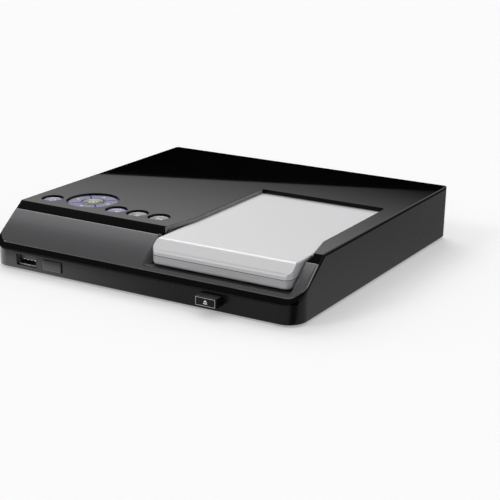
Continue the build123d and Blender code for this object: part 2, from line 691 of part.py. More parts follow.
def switch_places():
    """Centres of the switches, one under each key."""
    places = [(x, KEY_Y) for x in ROUND_KEYS.values()] + [(RING_X, RING_Y)]
    reach = (RING_RADIUS + RING_BORE) / 2
    for angle in RING_KEYS.values():
        places.append((RING_X + reach * cos(radians(angle)), RING_Y + reach * sin(radians(angle))))
    return places


def button_board():
    """The board under the keys."""
    margin = KEY_RADIUS
    x_range = (POWER_X - margin, PLAY_KEY_X + margin)
    y_low = KEY_Y - margin - POST_RADIUS
    plate = rounded_plan(x_range, (y_low, y_low + BUTTON_BOARD_DEPTH), POST_RADIUS, POST_RADIUS)
    return extrude(Pos(0, 0, BUTTON_BOARD_Z - BOARD_THICK) * plate, BOARD_THICK)


def button_switches():
    """The small push switches, one solid each."""
    switches = []
    for x, y in switch_places():
        body_z = (BUTTON_BOARD_Z, BUTTON_BOARD_Z + SWITCH_BODY)
        body = block(around(x, SWITCH_SIDE), around(y, SWITCH_SIDE), body_z)
        switches.append(body + post(x, y, SWITCH_TIP_RADIUS, body_z[1], SWITCH_TOP_Z))
    return Compound(switches)


# ---- fascia fittings ----------------------------------------------------------------------------
def usb_port_shell():
    """The folded metal shell of the host socket, open at the front."""
    y_range = (FRONT_Y + USB_SINK, FRONT_Y + USB_SINK + USB_DEEP)
    outside = block(around(USB_X, USB_WIDTH), y_range, around(USB_Z, USB_TALL))
    inner_y = (y_range[0] - MARGIN, y_range[1] - USB_METAL)
    inner_width = around(USB_X, USB_WIDTH - 2 * USB_METAL)
    return outside - block(inner_width, inner_y, around(USB_Z, USB_TALL - 2 * USB_METAL))


def tongue_range():
    """Low and high z of the plastic tongue in the host socket."""
    return around(USB_Z + TONGUE_RISE, TONGUE_TALL)


def usb_port_tongue():
    """The plastic tongue that carries the contacts, with the block it grows from."""
    back = FRONT_Y + USB_SINK + USB_DEEP - USB_METAL
    front = FRONT_Y + USB_SINK + TONGUE_SINK
    tongue = block(around(USB_X, TONGUE_WIDTH), (front, back), tongue_range())
    root_width = around(USB_X, USB_WIDTH - 2 * USB_METAL)
    return tongue + block(root_width, (back - WALL, back), around(USB_Z, USB_TALL - 2 * USB_METAL))


def usb_port_contacts():
    """The four contact strips under the tongue."""
    low = tongue_range()[0]
    front = FRONT_Y + USB_SINK + TONGUE_SINK + CONTACT_TALL
    back = FRONT_Y + USB_SINK + USB_DEEP - USB_METAL - WALL
    strips = []
    for number in range(CONTACT_COUNT):
        x = USB_X + (number - (CONTACT_COUNT - 1) / 2) * CONTACT_PITCH
        strips.append(block(around(x, CONTACT_WIDTH), (front, back), (low - CONTACT_TALL, low)))
    return Compound(strips)


def ir_window():
    """The raised window: a rounded block that sits in a shallow seat, and its stem through the fascia."""
    proud_y = (FRONT_Y - WINDOW_PROUD, FRONT_Y + WINDOW_SEAT)
    face = block(around(WINDOW_X, WINDOW_WIDTH), proud_y, around(WINDOW_Z, WINDOW_TALL))
    face = fillet(face.edges().group_by(Axis.Y)[0], WINDOW_ROUND)
    stem_y = (FRONT_Y + WINDOW_SEAT, FRONT_Y + WALL + WINDOW_PROUD)
    stem_width = around(WINDOW_X, WINDOW_WIDTH - 2 * WINDOW_LIP)
    return face + block(stem_width, stem_y, around(WINDOW_Z, WINDOW_TALL - 2 * WINDOW_LIP))


def ir_receiver():
    """The receiver behind the window: a block with a domed lens, held by the front board."""
    size = WINDOW_TALL
    lens_y = FRONT_Y + WALL + WINDOW_PROUD + RUN_GAP
    body_y = (lens_y + size / 4, lens_y + size)
    body = block(around(WINDOW_X, size), body_y, (WINDOW_Z - size / 2, front_board_z()[0]))
    lens = Pos(WINDOW_X, body_y[0] + size / 8, WINDOW_Z) * Sphere(size / 3)
    return body + (lens & block(around(WINDOW_X, size), (lens_y, body_y[1]), around(WINDOW_Z, size)))


def front_board_z():
    """Low and high z of the board over the host socket."""
    low = USB_Z + USB_TALL / 2
    return low, low + BOARD_THICK / 2


def front_board():
    """The small board that the host socket and the receiver hang from."""
    x_range = (USB_X - USB_WIDTH / 2 - WALL, WINDOW_X + WINDOW_WIDTH / 2)
    y_range = (FRONT_Y + WALL + 2 * RUN_GAP, FRONT_Y + USB_SINK + USB_DEEP + WALL)
    return block(x_range, y_range, front_board_z())


# ---- bay liner and dock connector ---------------------------------------------------------------
def liner_screw():
    """Place of the screw that holds the liner's front."""
    return LINER_SCREW_X, FRONT_Y + LINER_SCREW_SETBACK


def finger_places():
    """The x of each finger of the sled."""
    return DRIVE_CENTRE - FINGER_SPREAD, DRIVE_CENTRE + FINGER_SPREAD


def sled_guides():
    """The two hooked rails under the liner's floor that the sled runs in."""
    y_range = (SLED_FRONT_Y - SLED_TRAVEL - RUN_GAP, LINER_BACK_Y)
    lip_z = (SLED_Z - RUN_GAP - GUIDE_WALL, SLED_Z - RUN_GAP)
    guides = []
    for side in (-1, 1):
        edge = SLED_CENTRE + side * (SLED_WIDTH / 2 + RUN_GAP)
        outer = edge + side * GUIDE_WALL
        inner = edge - side * GUIDE_LIP
        wall = block(sorted((edge, outer)), y_range, (lip_z[0], LINER_Z))
        guides.append(wall + block(sorted((inner, outer)), y_range, lip_z))
    return guides


def bay_liner(lid, panel):
    """Floor, side walls and back wall of the bay, with low rails for the drive to slide on."""
    x_range = (LINER_LEFT - LINER_WALL, LINER_RIGHT + LINER_WALL)
    y_range = (LEDGE_Y, LINER_BACK_Y + LINER_WALL)
    liner = block(x_range, y_range, (LINER_Z, UNDER_Z))
    liner -= block((LINER_LEFT, LINER_RIGHT), (LEDGE_Y - MARGIN, LINER_BACK_Y), (LINER_TOP_Z, REACH))
    below_bed = [
        (LEDGE_Y - MARGIN, LINER_Z),
        (LEDGE_Y - MARGIN, LINER_TOP_Z),
        (slope_place(LINER_TOP_Z, LIP), LINER_TOP_Z),
        (slope_place(UNDER_Z, LIP), UNDER_Z),
        (y_range[1], UNDER_Z),
        (y_range[1], LINER_Z),
    ]
    liner = liner & side_prism(below_bed)
    for x in (DRIVE_LEFT + RAIL_INSET, DRIVE_RIGHT - RAIL_INSET):
        rail_y = (LEDGE_Y + MARGIN, LINER_BACK_Y)
        liner += block(around(x, RAIL_WIDTH), rail_y, (LINER_TOP_Z, LINER_TOP_Z + RAIL_HEIGHT))
    for x in finger_places():
        slot_y = (FINGER_Y - SLED_TRAVEL - RUN_GAP, FINGER_Y + FINGER_THICK + RUN_GAP)
        liner -= block(around(x, FINGER_WIDTH + 2 * RUN_GAP), slot_y, (LINER_Z, LINER_TOP_Z))
    for guide in sled_guides():
        liner += guide
    window_x = around(DRIVE_CENTRE, SOCKET_WIDTH + 2 * LINER_WALL)
    window_z = around(SOCKET_Z, SOCKET_TALL + 2 * LINER_WALL)
    liner -= block(window_x, (LINER_BACK_Y, LINER_BACK_Y + LINER_WALL), window_z)
    x, y = liner_screw()
    boss = post(x, y, SCREW_BOSS_RADIUS, FLOOR_Z + SCREW_HEAD, LINER_Z)
    liner += boss - post(x, y, SCREW_RADIUS, BASE_Z, FLOOR_Z + SCREW_HEAD + SCREW_BITE)
    return liner - lid - panel


def dock_connector():
    """The plug at the back of the bay: a block in the liner's back wall and the tongue in front of it."""
    block_x = around(DRIVE_CENTRE, SOCKET_WIDTH + 2 * LINER_WALL)
    block_z = around(SOCKET_Z, SOCKET_TALL + 2 * LINER_WALL)
    body = block(block_x, (LINER_BACK_Y, LINER_BACK_Y + 2 * LINER_WALL), block_z)
    plug_y = (DRIVE_BACK_Y - PLUG_LENGTH, LINER_BACK_Y)
    return body + block(around(DRIVE_CENTRE, PLUG_WIDTH), plug_y, around(SOCKET_Z, PLUG_TALL))


# ---- eject train --------------------------------------------------------------------------------
def eject_button():
    """The push button: cap in front of the fascia, flange behind it, rod and upright pin."""
    cap_y = (FRONT_Y - BUTTON_PROUD, FLANGE_Y)
    cap = block(around(BUTTON_X, BUTTON_WIDTH), cap_y, around(BUTTON_Z, BUTTON_TALL))
    cap = fillet(cap.edges().group_by(Axis.Y)[0], BUTTON_ROUND)
    flange_y = (FLANGE_Y, FLANGE_Y + FLANGE_THICK)
    flange = block(around(BUTTON_X, FLANGE_WIDTH), flange_y, around(BUTTON_Z, FLANGE_TALL))
    pin_y = ROCKER_Y - BUTTON_TRAVEL / 2
    rod_z = (ROD_TOP_Z - ROD_TALL, ROD_TOP_Z)
    rod = block(around(BUTTON_X, ROD_WIDTH), (flange_y[1], pin_y + ROD_WIDTH / 2), rod_z)
    pin = post(BUTTON_X, pin_y, DRIVE_PIN_RADIUS, ROD_TOP_Z, ROCKER_TOP_Z + RUN_GAP)
    return cap + flange + rod + pin


def eject_rocker():
    """The rocker: a flat lever with a slot for the button's pin and an upright pin for the sled."""
    long_end = Pos(ROCKER_LONG, 0) * Circle(ROCKER_WIDE / 2)
    short_reach = ROCKER_SHORT / cos(radians(ROCKER_REST))
    outer_end = -short_reach - DRIVE_PIN_RADIUS - PIN_PLAY - WALL / 2
    beam = Pos((ROCKER_LONG + outer_end) / 2, 0) * Rectangle(ROCKER_LONG - outer_end, ROCKER_WIDE)
    plan = beam + long_end + Circle(HUB_RADIUS) - Circle(PIVOT_RADIUS + PIVOT_PLAY)
    slot_width = 2 * (DRIVE_PIN_RADIUS + PIN_PLAY)
    slot_inner = -ROCKER_SHORT + DRIVE_PIN_RADIUS + PIN_PLAY
    slot_outer = -short_reach - DRIVE_PIN_RADIUS - PIN_PLAY
    slot = SlotOverall(slot_inner - slot_outer, slot_width)
    plan -= Pos((slot_inner + slot_outer) / 2, 0) * slot
    rocker = extrude(Pos(0, 0, ROCKER_Z) * plan, ROCKER_THICK)
    rocker += post(ROCKER_LONG, 0, DRIVE_PIN_RADIUS, ROCKER_TOP_Z, SLED_TOP_Z - RUN_GAP / 2)
    return Pos(ROCKER_X, ROCKER_Y, 0) * Rot(0, 0, ROCKER_REST) * rocker


def rocker_pin():
    """The headed pin that the rocker turns on, pressed in the boss on the floor."""
    shank = post(ROCKER_X, ROCKER_Y, PIVOT_RADIUS, FLOOR_Z, ROCKER_TOP_Z + RUN_GAP)
    head_z = ROCKER_TOP_Z + RUN_GAP
    return shank + post(ROCKER_X, ROCKER_Y, PIVOT_HEAD_RADIUS, head_z, head_z + PIVOT_HEAD)


def ejector_sled():
    """The sled: a plate under the bay floor, a cross slot for the rocker and two upright fingers."""
    y_range = (SLED_FRONT_Y, FINGER_Y + FINGER_THICK)
    z_range = (SLED_Z, SLED_TOP_Z)
    sled = block(around(SLED_CENTRE, SLED_WIDTH), y_range, z_range)
    window_y = (SLED_FRONT_Y + ROCKER_LONG, FINGER_Y - ROCKER_LONG)
    for side in (-1, 1):
        centre = SLED_CENTRE + side * SLED_WIDTH / 4
        sled -= block(around(centre, SLED_WIDTH / 4), window_y, z_range)
    for x in finger_places():
        finger_y = (FINGER_Y, FINGER_Y + FINGER_THICK)
        sled += block(around(x, FINGER_WIDTH), finger_y, (SLED_Z, LINER_TOP_Z + FINGER_HEIGHT))
    pin_y = ROCKER_Y + SLED_TRAVEL / 2
    inner = ROCKER_X + ROCKER_LONG * cos(radians(ROCKER_REST)) - DRIVE_PIN_RADIUS - PIN_PLAY
    outer = ROCKER_X + ROCKER_LONG + DRIVE_PIN_RADIUS + PIN_PLAY
    slot = SlotOverall(outer - inner, 2 * (DRIVE_PIN_RADIUS + PIN_PLAY))
    return sled - extrude(Pos((inner + outer) / 2, pin_y, SLED_Z) * slot, SLED_THICK)


def eject_spring():
    """The coil spring round the rod, between the flange and the rib on the floor."""
    start = FLANGE_Y + FLANGE_THICK + SPRING_WIRE + PIN_PLAY
    length = GUIDE_RIB_Y - SPRING_WIRE - PIN_PLAY - start
    path = Helix(length / SPRING_TURNS, length, SPRING_RADIUS)
    section = (path ^ 0) * Circle(SPRING_WIRE)
    coil = sweep(section, path=path)
    middle_z = ROD_TOP_Z - ROD_TALL / 2
    return Pos(BUTTON_X, start, middle_z) * Rot(-90, 0, 0) * coil


# ---- the drive ----------------------------------------------------------------------------------
def drive_plan(inset, z_low, z_high):
    """The drive's outline seen from above, drawn in by an inset."""
    x_range = (DRIVE_LEFT + inset, DRIVE_RIGHT - inset)
    y_range = (DRIVE_FRONT_Y + inset, DRIVE_BACK_Y - inset)
    corner = DRIVE_CORNER - inset
    return extrude(Pos(0, 0, z_low) * rounded_plan(x_range, y_range, corner, corner), z_high - z_low)


def nose_profile(inset):
    """The drive's outline seen from the side: flat top, and a nose that slopes down to the front."""
    front = DRIVE_FRONT_Y + inset
    crest = DRIVE_FRONT_Y + DRIVE_NOSE_LENGTH + inset
    bead = (front, DRIVE_Z + DRIVE_NOSE_RISE - inset)
    crown = (crest, DRIVE_TOP_Z - inset)
    points = [
        (front, DRIVE_Z - MARGIN),
        bead,
        crown,
        (DRIVE_BACK_Y + MARGIN, DRIVE_TOP_Z - inset),
        (DRIVE_BACK_Y + MARGIN, DRIVE_Z - MARGIN),
    ]
    return side_prism(points, bead, DRIVE_BEAD_ROUND) & side_prism(points, crown, DRIVE_NOSE_ROUND)


def drive_sides():
    """A tunnel from front to back that rounds the drive's long edges, seen from the front."""
    section = Pos(DRIVE_CENTRE, (DRIVE_Z + DRIVE_TOP_Z) / 2) * Rectangle(DRIVE_WIDTH, DRIVE_THICK)
    section = fillet(section.vertices().group_by(Axis.Y)[-1], DRIVE_SIDE_ROUND)
    section = fillet(section.vertices().group_by(Axis.Y)[0], DRIVE_BELLY_ROUND)
    return extrude(Plane.XZ * section, REACH, both=True)


def socket_room():
    """The space that the drive's socket takes out of its covers."""
    y_range = (DRIVE_BACK_Y - SOCKET_DEEP, DRIVE_BACK_Y + MARGIN)
    return block(around(DRIVE_CENTRE, SOCKET_WIDTH), y_range, around(SOCKET_Z, SOCKET_TALL))


def drive_top_cover():
    """The upper shell of the drive, with its sloped nose."""
    cover = drive_plan(0, PARTING_Z + DRIVE_SEAM, DRIVE_TOP_Z) & nose_profile(0) & drive_sides()
    hollow = drive_plan(DRIVE_SHELL, DRIVE_Z, DRIVE_TOP_Z) & nose_profile(DRIVE_SHELL)
    return cover - hollow - socket_room()


def drive_bottom_shell():
    """The lower shell of the drive, with a step inside that the upper one sits over."""
    shell = drive_plan(0, DRIVE_Z, PARTING_Z)
    shell = fillet(shell.edges().group_by(Axis.Z)[0], DRIVE_BELLY_ROUND)
    shell -= drive_plan(DRIVE_SHELL, DRIVE_Z + DRIVE_SHELL, DRIVE_TOP_Z)
    rim = drive_plan(DRIVE_SHELL, PARTING_Z - DRIVE_SHELL, PARTING_Z + DRIVE_SHELL)
    rim -= drive_plan(2 * DRIVE_SHELL, DRIVE_Z, DRIVE_TOP_Z)
    return shell + (rim & nose_profile(DRIVE_SHELL)) - socket_room()


def drive_disk_unit():
    """The disk inside the drive: cast body with a raised motor boss on top."""
    back = DRIVE_BACK_Y - SOCKET_DEEP - DRIVE_SHELL
    y_range = (back - DISK_LENGTH, back)
    low = DRIVE_Z + DRIVE_SHELL
    body = block(around(DRIVE_CENTRE, DISK_WIDTH), y_range, (low, low + DISK_THICK))
    body = fillet(body.edges().filter_by(Axis.Z), DRIVE_SHELL)
    spindle_y = y_range[0] + DISK_WIDTH / 2
    return body + post(DRIVE_CENTRE, spindle_y, DISK_WIDTH / 6, low, low + DISK_THICK + DRIVE_SEAM)


def drive_socket():
    """The metal socket in the drive's back end, which the dock's plug goes into."""
    y_range = (DRIVE_BACK_Y - SOCKET_DEEP, DRIVE_BACK_Y)
    outside = block(around(DRIVE_CENTRE, SOCKET_WIDTH), y_range, around(SOCKET_Z, SOCKET_TALL))
    inner_width = around(DRIVE_CENTRE, SOCKET_WIDTH - 2 * SOCKET_METAL)
    inner_y = (y_range[0] + SOCKET_METAL, y_range[1])
    return outside - block(inner_width, inner_y, around(SOCKET_Z, SOCKET_TALL - 2 * SOCKET_METAL))


# ---- electronics and back connectors ------------------------------------------------------------
def standoff_places():
    """Places of the posts that carry the main board."""
    left = LEFT_X + BOARD_EDGE + WALL + POST_RADIUS
    right = BOARD_RIGHT - 2 * POST_RADIUS
    front = FRONT_Y + BOARD_FRONT_SETBACK + 2 * POST_RADIUS
    shelf = BACK_Y - BOARD_SHELF_DEPTH + POST_RADIUS
    far = RIGHT_X - WALL - SCREW_INSET - 3 * POST_RADIUS
    return [(left + SCREW_INSET, front), (right, front), (left, shelf), (right, shelf), (far, shelf)]


def main_board():
    """The L-shaped main board: beside the bay and behind it."""
    left = LEFT_X + BOARD_EDGE + WALL
    right = RIGHT_X - WALL - BOARD_EDGE
    back = BACK_Y - WALL - BOARD_EDGE
    z_range = (BOARD_Z, BOARD_TOP_Z)
    board = block((left, BOARD_RIGHT), (FRONT_Y + BOARD_FRONT_SETBACK, back), z_range)
    board += block((left, right), (BACK_Y - BOARD_SHELF_DEPTH, back), z_range)
    for x, y in lid_screws():
        board -= block(around(x, 2 * SCREW_INSET), around(y, 2 * SCREW_INSET), z_range)
    return board


def chip(x, setback, side_x, side_y, height, z_low):
    """A flat square part on the main board."""
    y = FRONT_Y + setback
    return block(around(x, side_x), around(y, side_y), (z_low, z_low + height))


def processor():
    """The main chip, with the solder side's smaller body under its lid."""
    side = PROCESSOR_SIDE
    body = chip(BOARD_MIDDLE_X, PROCESSOR_SETBACK, side, side, PROCESSOR_TALL / 2, BOARD_TOP_Z)
    lid_z = BOARD_TOP_Z + PROCESSOR_TALL / 2
    lid_side = side - 2 * PROCESSOR_TALL
    return body + chip(BOARD_MIDDLE_X, PROCESSOR_SETBACK, lid_side, lid_side, PROCESSOR_TALL / 2, lid_z)


def heat_sink():
    """The finned cooler on the processor."""
    low = BOARD_TOP_Z + PROCESSOR_TALL
    sink = chip(BOARD_MIDDLE_X, PROCESSOR_SETBACK, SINK_SIDE, SINK_SIDE, SINK_BASE, low)
    pitch = (SINK_SIDE - FIN_THICK) / (FIN_COUNT - 1)
    for number in range(FIN_COUNT):
        x = BOARD_MIDDLE_X - (SINK_SIDE - FIN_THICK) / 2 + number * pitch
        sink += chip(x, PROCESSOR_SETBACK, FIN_THICK, SINK_SIDE, SINK_TALL - SINK_BASE, low + SINK_BASE)
    return sink


def memory_chips():
    """The memory, in a row beside the processor."""
    width, depth, height = MEMORY_SIZE
    row = []
    for number in range(MEMORY_COUNT):
        setback = MEMORY_SETBACK + number * MEMORY_PITCH
        row.append(chip(MEMORY_X, setback, depth, width, height, BOARD_TOP_Z))
    return Compound(row)


def capacitors():
    """The round capacitors behind the power socket."""
    row = []
    for number in range(CAPACITOR_COUNT):
        x = CAPACITOR_X + number * CAPACITOR_PITCH
        top = BOARD_TOP_Z + CAPACITOR_TALL
        can = post(x, CAPACITOR_Y, CAPACITOR_RADIUS, BOARD_TOP_Z, top)
        row.append(fillet(can.edges().group_by(Axis.Z)[-1], CAPACITOR_RADIUS / 6))
    return Compound(row)


def port_sizes():
    """Each square-holed connector: its x, width, and low and high z."""
    low = BOARD_TOP_Z
    return {
        "power_jack": (POWER_JACK_X, POWER_JACK_WIDTH, low, low + POWER_JACK_TALL),
        "hdmi_port": (HDMI_X, HDMI_WIDTH, low, low + HDMI_TALL),
        "optical_port": (OPTICAL_X, OPTICAL_SIDE, low, low + OPTICAL_SIDE),
        "network_port": (NETWORK_X, NETWORK_WIDTH, low, low + NETWORK_TALL),
    }


def port_block(name):
    """The plain body of a connector, from inside the housing to just outside its back wall."""
    x, width, z_low, z_high = port_sizes()[name]
    return block(around(x, width), (PORT_FACE_Y - PORT_DEEP, PORT_FACE_Y), (z_low, z_high))


def power_jack():
    """The round power inlet with its centre pin."""
    x, width, z_low, z_high = port_sizes()["power_jack"]
    z = (z_low + z_high) / 2
    deep = (PORT_FACE_Y - PORT_DEEP + WALL, PORT_FACE_Y)
    jack = port_block("power_jack") - barrel(x, z, POWER_BORE, *deep)
    return jack + barrel(x, z, POWER_PIN, deep[0], deep[1] - WALL / 2)


def hdmi_port():
    """The wide thin video socket: a metal mouth with tapered lower corners and a flat tongue."""
    x, width, z_low, z_high = port_sizes()["hdmi_port"]
    half = width / 2 - HDMI_METAL
    low = z_low + HDMI_METAL
    high = z_high - HDMI_METAL
    cut = HDMI_TALL / 4
    points = [
        (x - half, high),
        (x + half, high),
        (x + half, low + cut),
        (x + half - cut, low),
        (x - half + cut, low),
        (x - half, low + cut),
    ]
    mouth = Plane.XZ.offset(-PORT_FACE_Y) * make_face(Polyline(*points, close=True))
    port = port_block("hdmi_port") - extrude(mouth, PORT_DEEP - WALL)
    tongue_z = around((low + high) / 2 + HDMI_METAL, HDMI_METAL * 2)
    tongue_y = (PORT_FACE_Y - PORT_DEEP + WALL / 2, PORT_FACE_Y - HDMI_METAL)
    return port + block(around(x, width - 2 * cut - 2 * HDMI_METAL), tongue_y, tongue_z)


def optical_port():
    """The square optical outlet with a shallow mouth that its shutter closes."""
    x, width, z_low, z_high = port_sizes()["optical_port"]
    mouth = RectangleRounded(OPTICAL_BORE, OPTICAL_BORE, OPTICAL_BORE / 4)
    place = Plane.XZ.offset(-PORT_FACE_Y) * Pos(x, (z_low + z_high) / 2)
    return port_block("optical_port") - extrude(place * mouth, OPTICAL_DEEP)


def network_mouth():
    """The room in the network socket: the plug's space and the latch's channel above it."""
    x, width, z_low, z_high = port_sizes()["network_port"]
    y_range = (PORT_FACE_Y - NETWORK_DEEP, PORT_FACE_Y)
    low = z_low + WALL
    plug = block(around(x, NETWORK_MOUTH), y_range, (low, low + NETWORK_MOUTH_TALL))
    return plug + block(around(x, NETWORK_LATCH), y_range, (low, low + NETWORK_MOUTH_TALL + WALL))


def network_port():
    """The network socket."""
    return port_block("network_port") - network_mouth()


def av_places():
    """The x of each round audio or video jack."""
    return [AV_X + (number - (AV_COUNT - 1) / 2) * AV_PITCH for number in range(AV_COUNT)]


def av_height():
    """Height of the round jacks' axes."""
    return BOARD_TOP_Z + AV_RING + WALL


def av_block():
    """The plastic block that carries the three round jacks, with a collar through the wall for each."""
    length = (AV_COUNT - 1) * AV_PITCH + 2 * AV_RING + WALL
    face = BACK_Y - WALL - PORT_GAP
    y_range = (face - PORT_DEEP / 2, face)
    body = block(around(AV_X, length), y_range, (BOARD_TOP_Z, av_height() + AV_RING + WALL / 2))
    for x in av_places():
        body += barrel(x, av_height(), AV_RING, face, PORT_FACE_Y)
        body -= barrel(x, av_height(), AV_RADIUS, face, PORT_FACE_Y)
    return body


def av_jacks():
    """The three metal barrels, one solid each."""
    jacks = []
    for x in av_places():
        y_low = BACK_Y - WALL - PORT_GAP
        y_high = BACK_Y + AV_PROUD
        jack = barrel(x, av_height(), AV_RADIUS, y_low, y_high)
        jack = chamfer(jack.edges().group_by(Axis.Y)[-1], AV_BORE / 4)
        jacks.append(jack - barrel(x, av_height(), AV_BORE, y_low + WALL, y_high))
    return Compound(jacks)


# ---- feet and screws ----------------------------------------------------------------------------
def rubber_feet():
    """The four round feet, one solid each."""
    feet = []
    for x, y in foot_places():
        foot = post(x, y, FOOT_RADIUS, 0, BASE_Z + FOOT_RECESS)
        feet.append(chamfer(foot.edges().group_by(Axis.Z)[0], FOOT_RECESS / 2))
    return Compound(feet)


def case_screws():
    """The screws from below, one solid each."""
    screws = []
    for x, y in lid_screws() + [liner_screw()]:
        head = post(x, y, SCREW_HEAD_RADIUS, BASE_Z + SCREW_HEAD / 4, SCREW_HEAD_Z)
        screws.append(head + post(x, y, SCREW_RADIUS, SCREW_HEAD_Z, FLOOR_Z + SCREW_BITE))
    return Compound(screws)


# ---- build and export ---------------------------------------------------------------------------
def build():
    """Every sub-part by its name."""
    panel = front_panel()
    lid = top_shell(panel)
    parts = {
        "top_shell": lid,
        "front_panel": panel,
        "lower_housing": lower_housing(),
        "bay_liner": bay_liner(lid, panel),
        "dock_connector": dock_connector(),
        "ok_key": ok_key(),
        "button_board": button_board(),
        "button_switches": button_switches(),
        "usb_port_shell": usb_port_shell(),
        "usb_port_tongue": usb_port_tongue(),
        "usb_port_contacts": usb_port_contacts(),
        "ir_window": ir_window(),
        "ir_receiver": ir_receiver(),
        "front_board": front_board(),
        "eject_button": eject_button(),
        "eject_rocker": eject_rocker(),
        "rocker_pin": rocker_pin(),
        "ejector_sled": ejector_sled(),
        "eject_spring": eject_spring(),
        "drive_top_cover": drive_top_cover(),
        "drive_bottom_shell": drive_bottom_shell(),
        "drive_disk_unit": drive_disk_unit(),
        "drive_socket": drive_socket(),
        "main_board": main_board(),
        "processor": processor(),
        "heat_sink": heat_sink(),
        "memory_chips": memory_chips(),
        "capacitors": capacitors(),
        "power_jack": power_jack(),
        "hdmi_port": hdmi_port(),
        "optical_port": optical_port(),
        "network_port": network_port(),
        "av_block": av_block(),
        "av_jacks": av_jacks(),
        "rubber_feet": rubber_feet(),
        "case_screws": case_screws(),
    }
    for name, x in ROUND_KEYS.items():
        parts[name] = round_key(x)
    for name, angle in RING_KEYS.items():
        parts[name] = ring_key(angle)
    return parts


os.makedirs("parts", exist_ok=True)
for name, solid in build().items():
    export_step(solid, f"parts/{name}.step")
print("rocker turns", round(2 * ROCKER_REST, 3), "degrees; sled travels", round(SLED_TRAVEL, 3), "mm")
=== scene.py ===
# %% [markdown]
# # A home media player, dressed for its picture
# The player comes in as finished solids: a glossy lid, a satin housing, keys, a bay with a portable
# drive in it, and what is inside. This lesson gives each of them the surface of the real material, adds
# the printed signs and small fittings that are too fine for the solids, and sets up the light and camera.
# Everything is in metres, with +X to the player's right, +Y to its back and +Z up.

# %% Load the player
from math import cos, radians, sin, tan

import bmesh
import bpy
from mathutils import Matrix, Vector


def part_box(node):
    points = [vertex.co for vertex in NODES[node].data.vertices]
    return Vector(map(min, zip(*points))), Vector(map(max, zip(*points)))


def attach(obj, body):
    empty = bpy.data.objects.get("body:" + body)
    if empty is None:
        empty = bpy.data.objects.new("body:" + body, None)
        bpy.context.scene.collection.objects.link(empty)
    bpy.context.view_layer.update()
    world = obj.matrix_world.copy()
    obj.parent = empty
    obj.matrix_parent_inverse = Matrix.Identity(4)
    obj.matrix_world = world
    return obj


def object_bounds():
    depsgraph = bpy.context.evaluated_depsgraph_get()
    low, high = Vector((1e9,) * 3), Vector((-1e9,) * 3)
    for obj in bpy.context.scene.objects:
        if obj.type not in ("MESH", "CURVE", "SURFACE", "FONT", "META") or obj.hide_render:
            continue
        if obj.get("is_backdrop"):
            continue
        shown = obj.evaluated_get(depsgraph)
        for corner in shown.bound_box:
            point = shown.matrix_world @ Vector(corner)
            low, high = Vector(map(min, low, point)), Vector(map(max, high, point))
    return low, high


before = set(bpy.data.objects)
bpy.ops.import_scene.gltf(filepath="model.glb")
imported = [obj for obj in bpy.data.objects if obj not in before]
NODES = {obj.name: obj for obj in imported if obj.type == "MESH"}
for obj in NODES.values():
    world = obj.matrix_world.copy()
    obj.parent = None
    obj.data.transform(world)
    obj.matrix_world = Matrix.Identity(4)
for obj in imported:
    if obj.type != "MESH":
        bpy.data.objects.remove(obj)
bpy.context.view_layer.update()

MM = 0.001
X, Y, Z = Vector((1, 0, 0)), Vector((0, 1, 0)), Vector((0, 0, 1))

# %% [markdown]
# ## The camera
# The picture was taken with a long lens from the front right, a little above the player. The lens and
# the place were worked out from the player's straight edges, so that every edge falls where it should.
# A camera can be aimed with angles or with a matrix. The matrix is used here, because the three
# directions of the camera (right, up and back) can then be written down one by one.

# %% Camera
SENSOR = 36.0
FOCAL_PIXELS = 1307.64
PICTURE_PIXELS = 500
YAW, PITCH, ROLL = radians(30.858), radians(17.518), radians(0.3326)
CAMERA_PLACE = Vector((377.89, -608.30, 226.22)) * MM
NEAREST, FARTHEST = 0.05, 20

forward = Vector((-sin(YAW) * cos(PITCH), cos(YAW) * cos(PITCH), -sin(PITCH)))
level = Vector((cos(YAW), sin(YAW), 0))
upright = level.cross(forward)
right = level * cos(ROLL) + upright * sin(ROLL)
up = upright * cos(ROLL) - level * sin(ROLL)

camera_data = bpy.data.cameras.new("camera")
camera_data.sensor_width = SENSOR
camera_data.lens = FOCAL_PIXELS / PICTURE_PIXELS * SENSOR
camera_data.clip_start, camera_data.clip_end = NEAREST, FARTHEST
camera = bpy.data.objects.new("camera", camera_data)
camera.matrix_world = Matrix.Translation(CAMERA_PLACE) @ Matrix((right, up, -forward)).transposed().to_4x4()
bpy.context.collection.objects.link(camera)
bpy.context.scene.camera = camera
bpy.context.scene.view_settings.view_transform = "Standard"
print("lens in mm:", round(camera_data.lens, 2))

# %% [markdown]
# ## Helpers for materials
# Colours are picked as sRGB hex codes, the way a paint chart gives them. The renderer works with linear
# light, so one function turns the code into linear values. A material is a small graph of nodes, and one
# function adds a node together with its settings and its inputs.


# %% Colour and node helpers
def linear(code):
    """An sRGB hex code as linear red, green, blue and full alpha."""
    parts = [int(code[i : i + 2], 16) / 255 for i in (0, 2, 4)]
    return [p / 12.92 if p <= 0.04045 else ((p + 0.055) / 1.055) ** 2.4 for p in parts] + [1.0]


def add_node(tree, kind, inputs=None, **settings):
    """Adds a node with its settings. Each input gets a constant or a link from another node's output."""
    node = tree.nodes.new(kind)
    for name, value in settings.items():
        setattr(node, name, value)
    for key, value in (inputs or {}).items():
        if isinstance(value, bpy.types.NodeSocket):
            tree.links.new(value, node.inputs[key])
        else:
            node.inputs[key].default_value = value
    return node


def new_material(name, **constants):
    """A material with one main shader, whose constant values sit on its own sockets."""
    material = bpy.data.materials.new(name)
    material.use_nodes = True
    tree = material.node_tree
    tree.nodes.clear()
    values = {socket.replace("_", " "): value for socket, value in constants.items()}
    shader = add_node(tree, "ShaderNodeBsdfPrincipled", values)
    add_node(tree, "ShaderNodeOutputMaterial", {"Surface": shader.outputs[0]}, is_active_output=True)
    return material, tree, shader


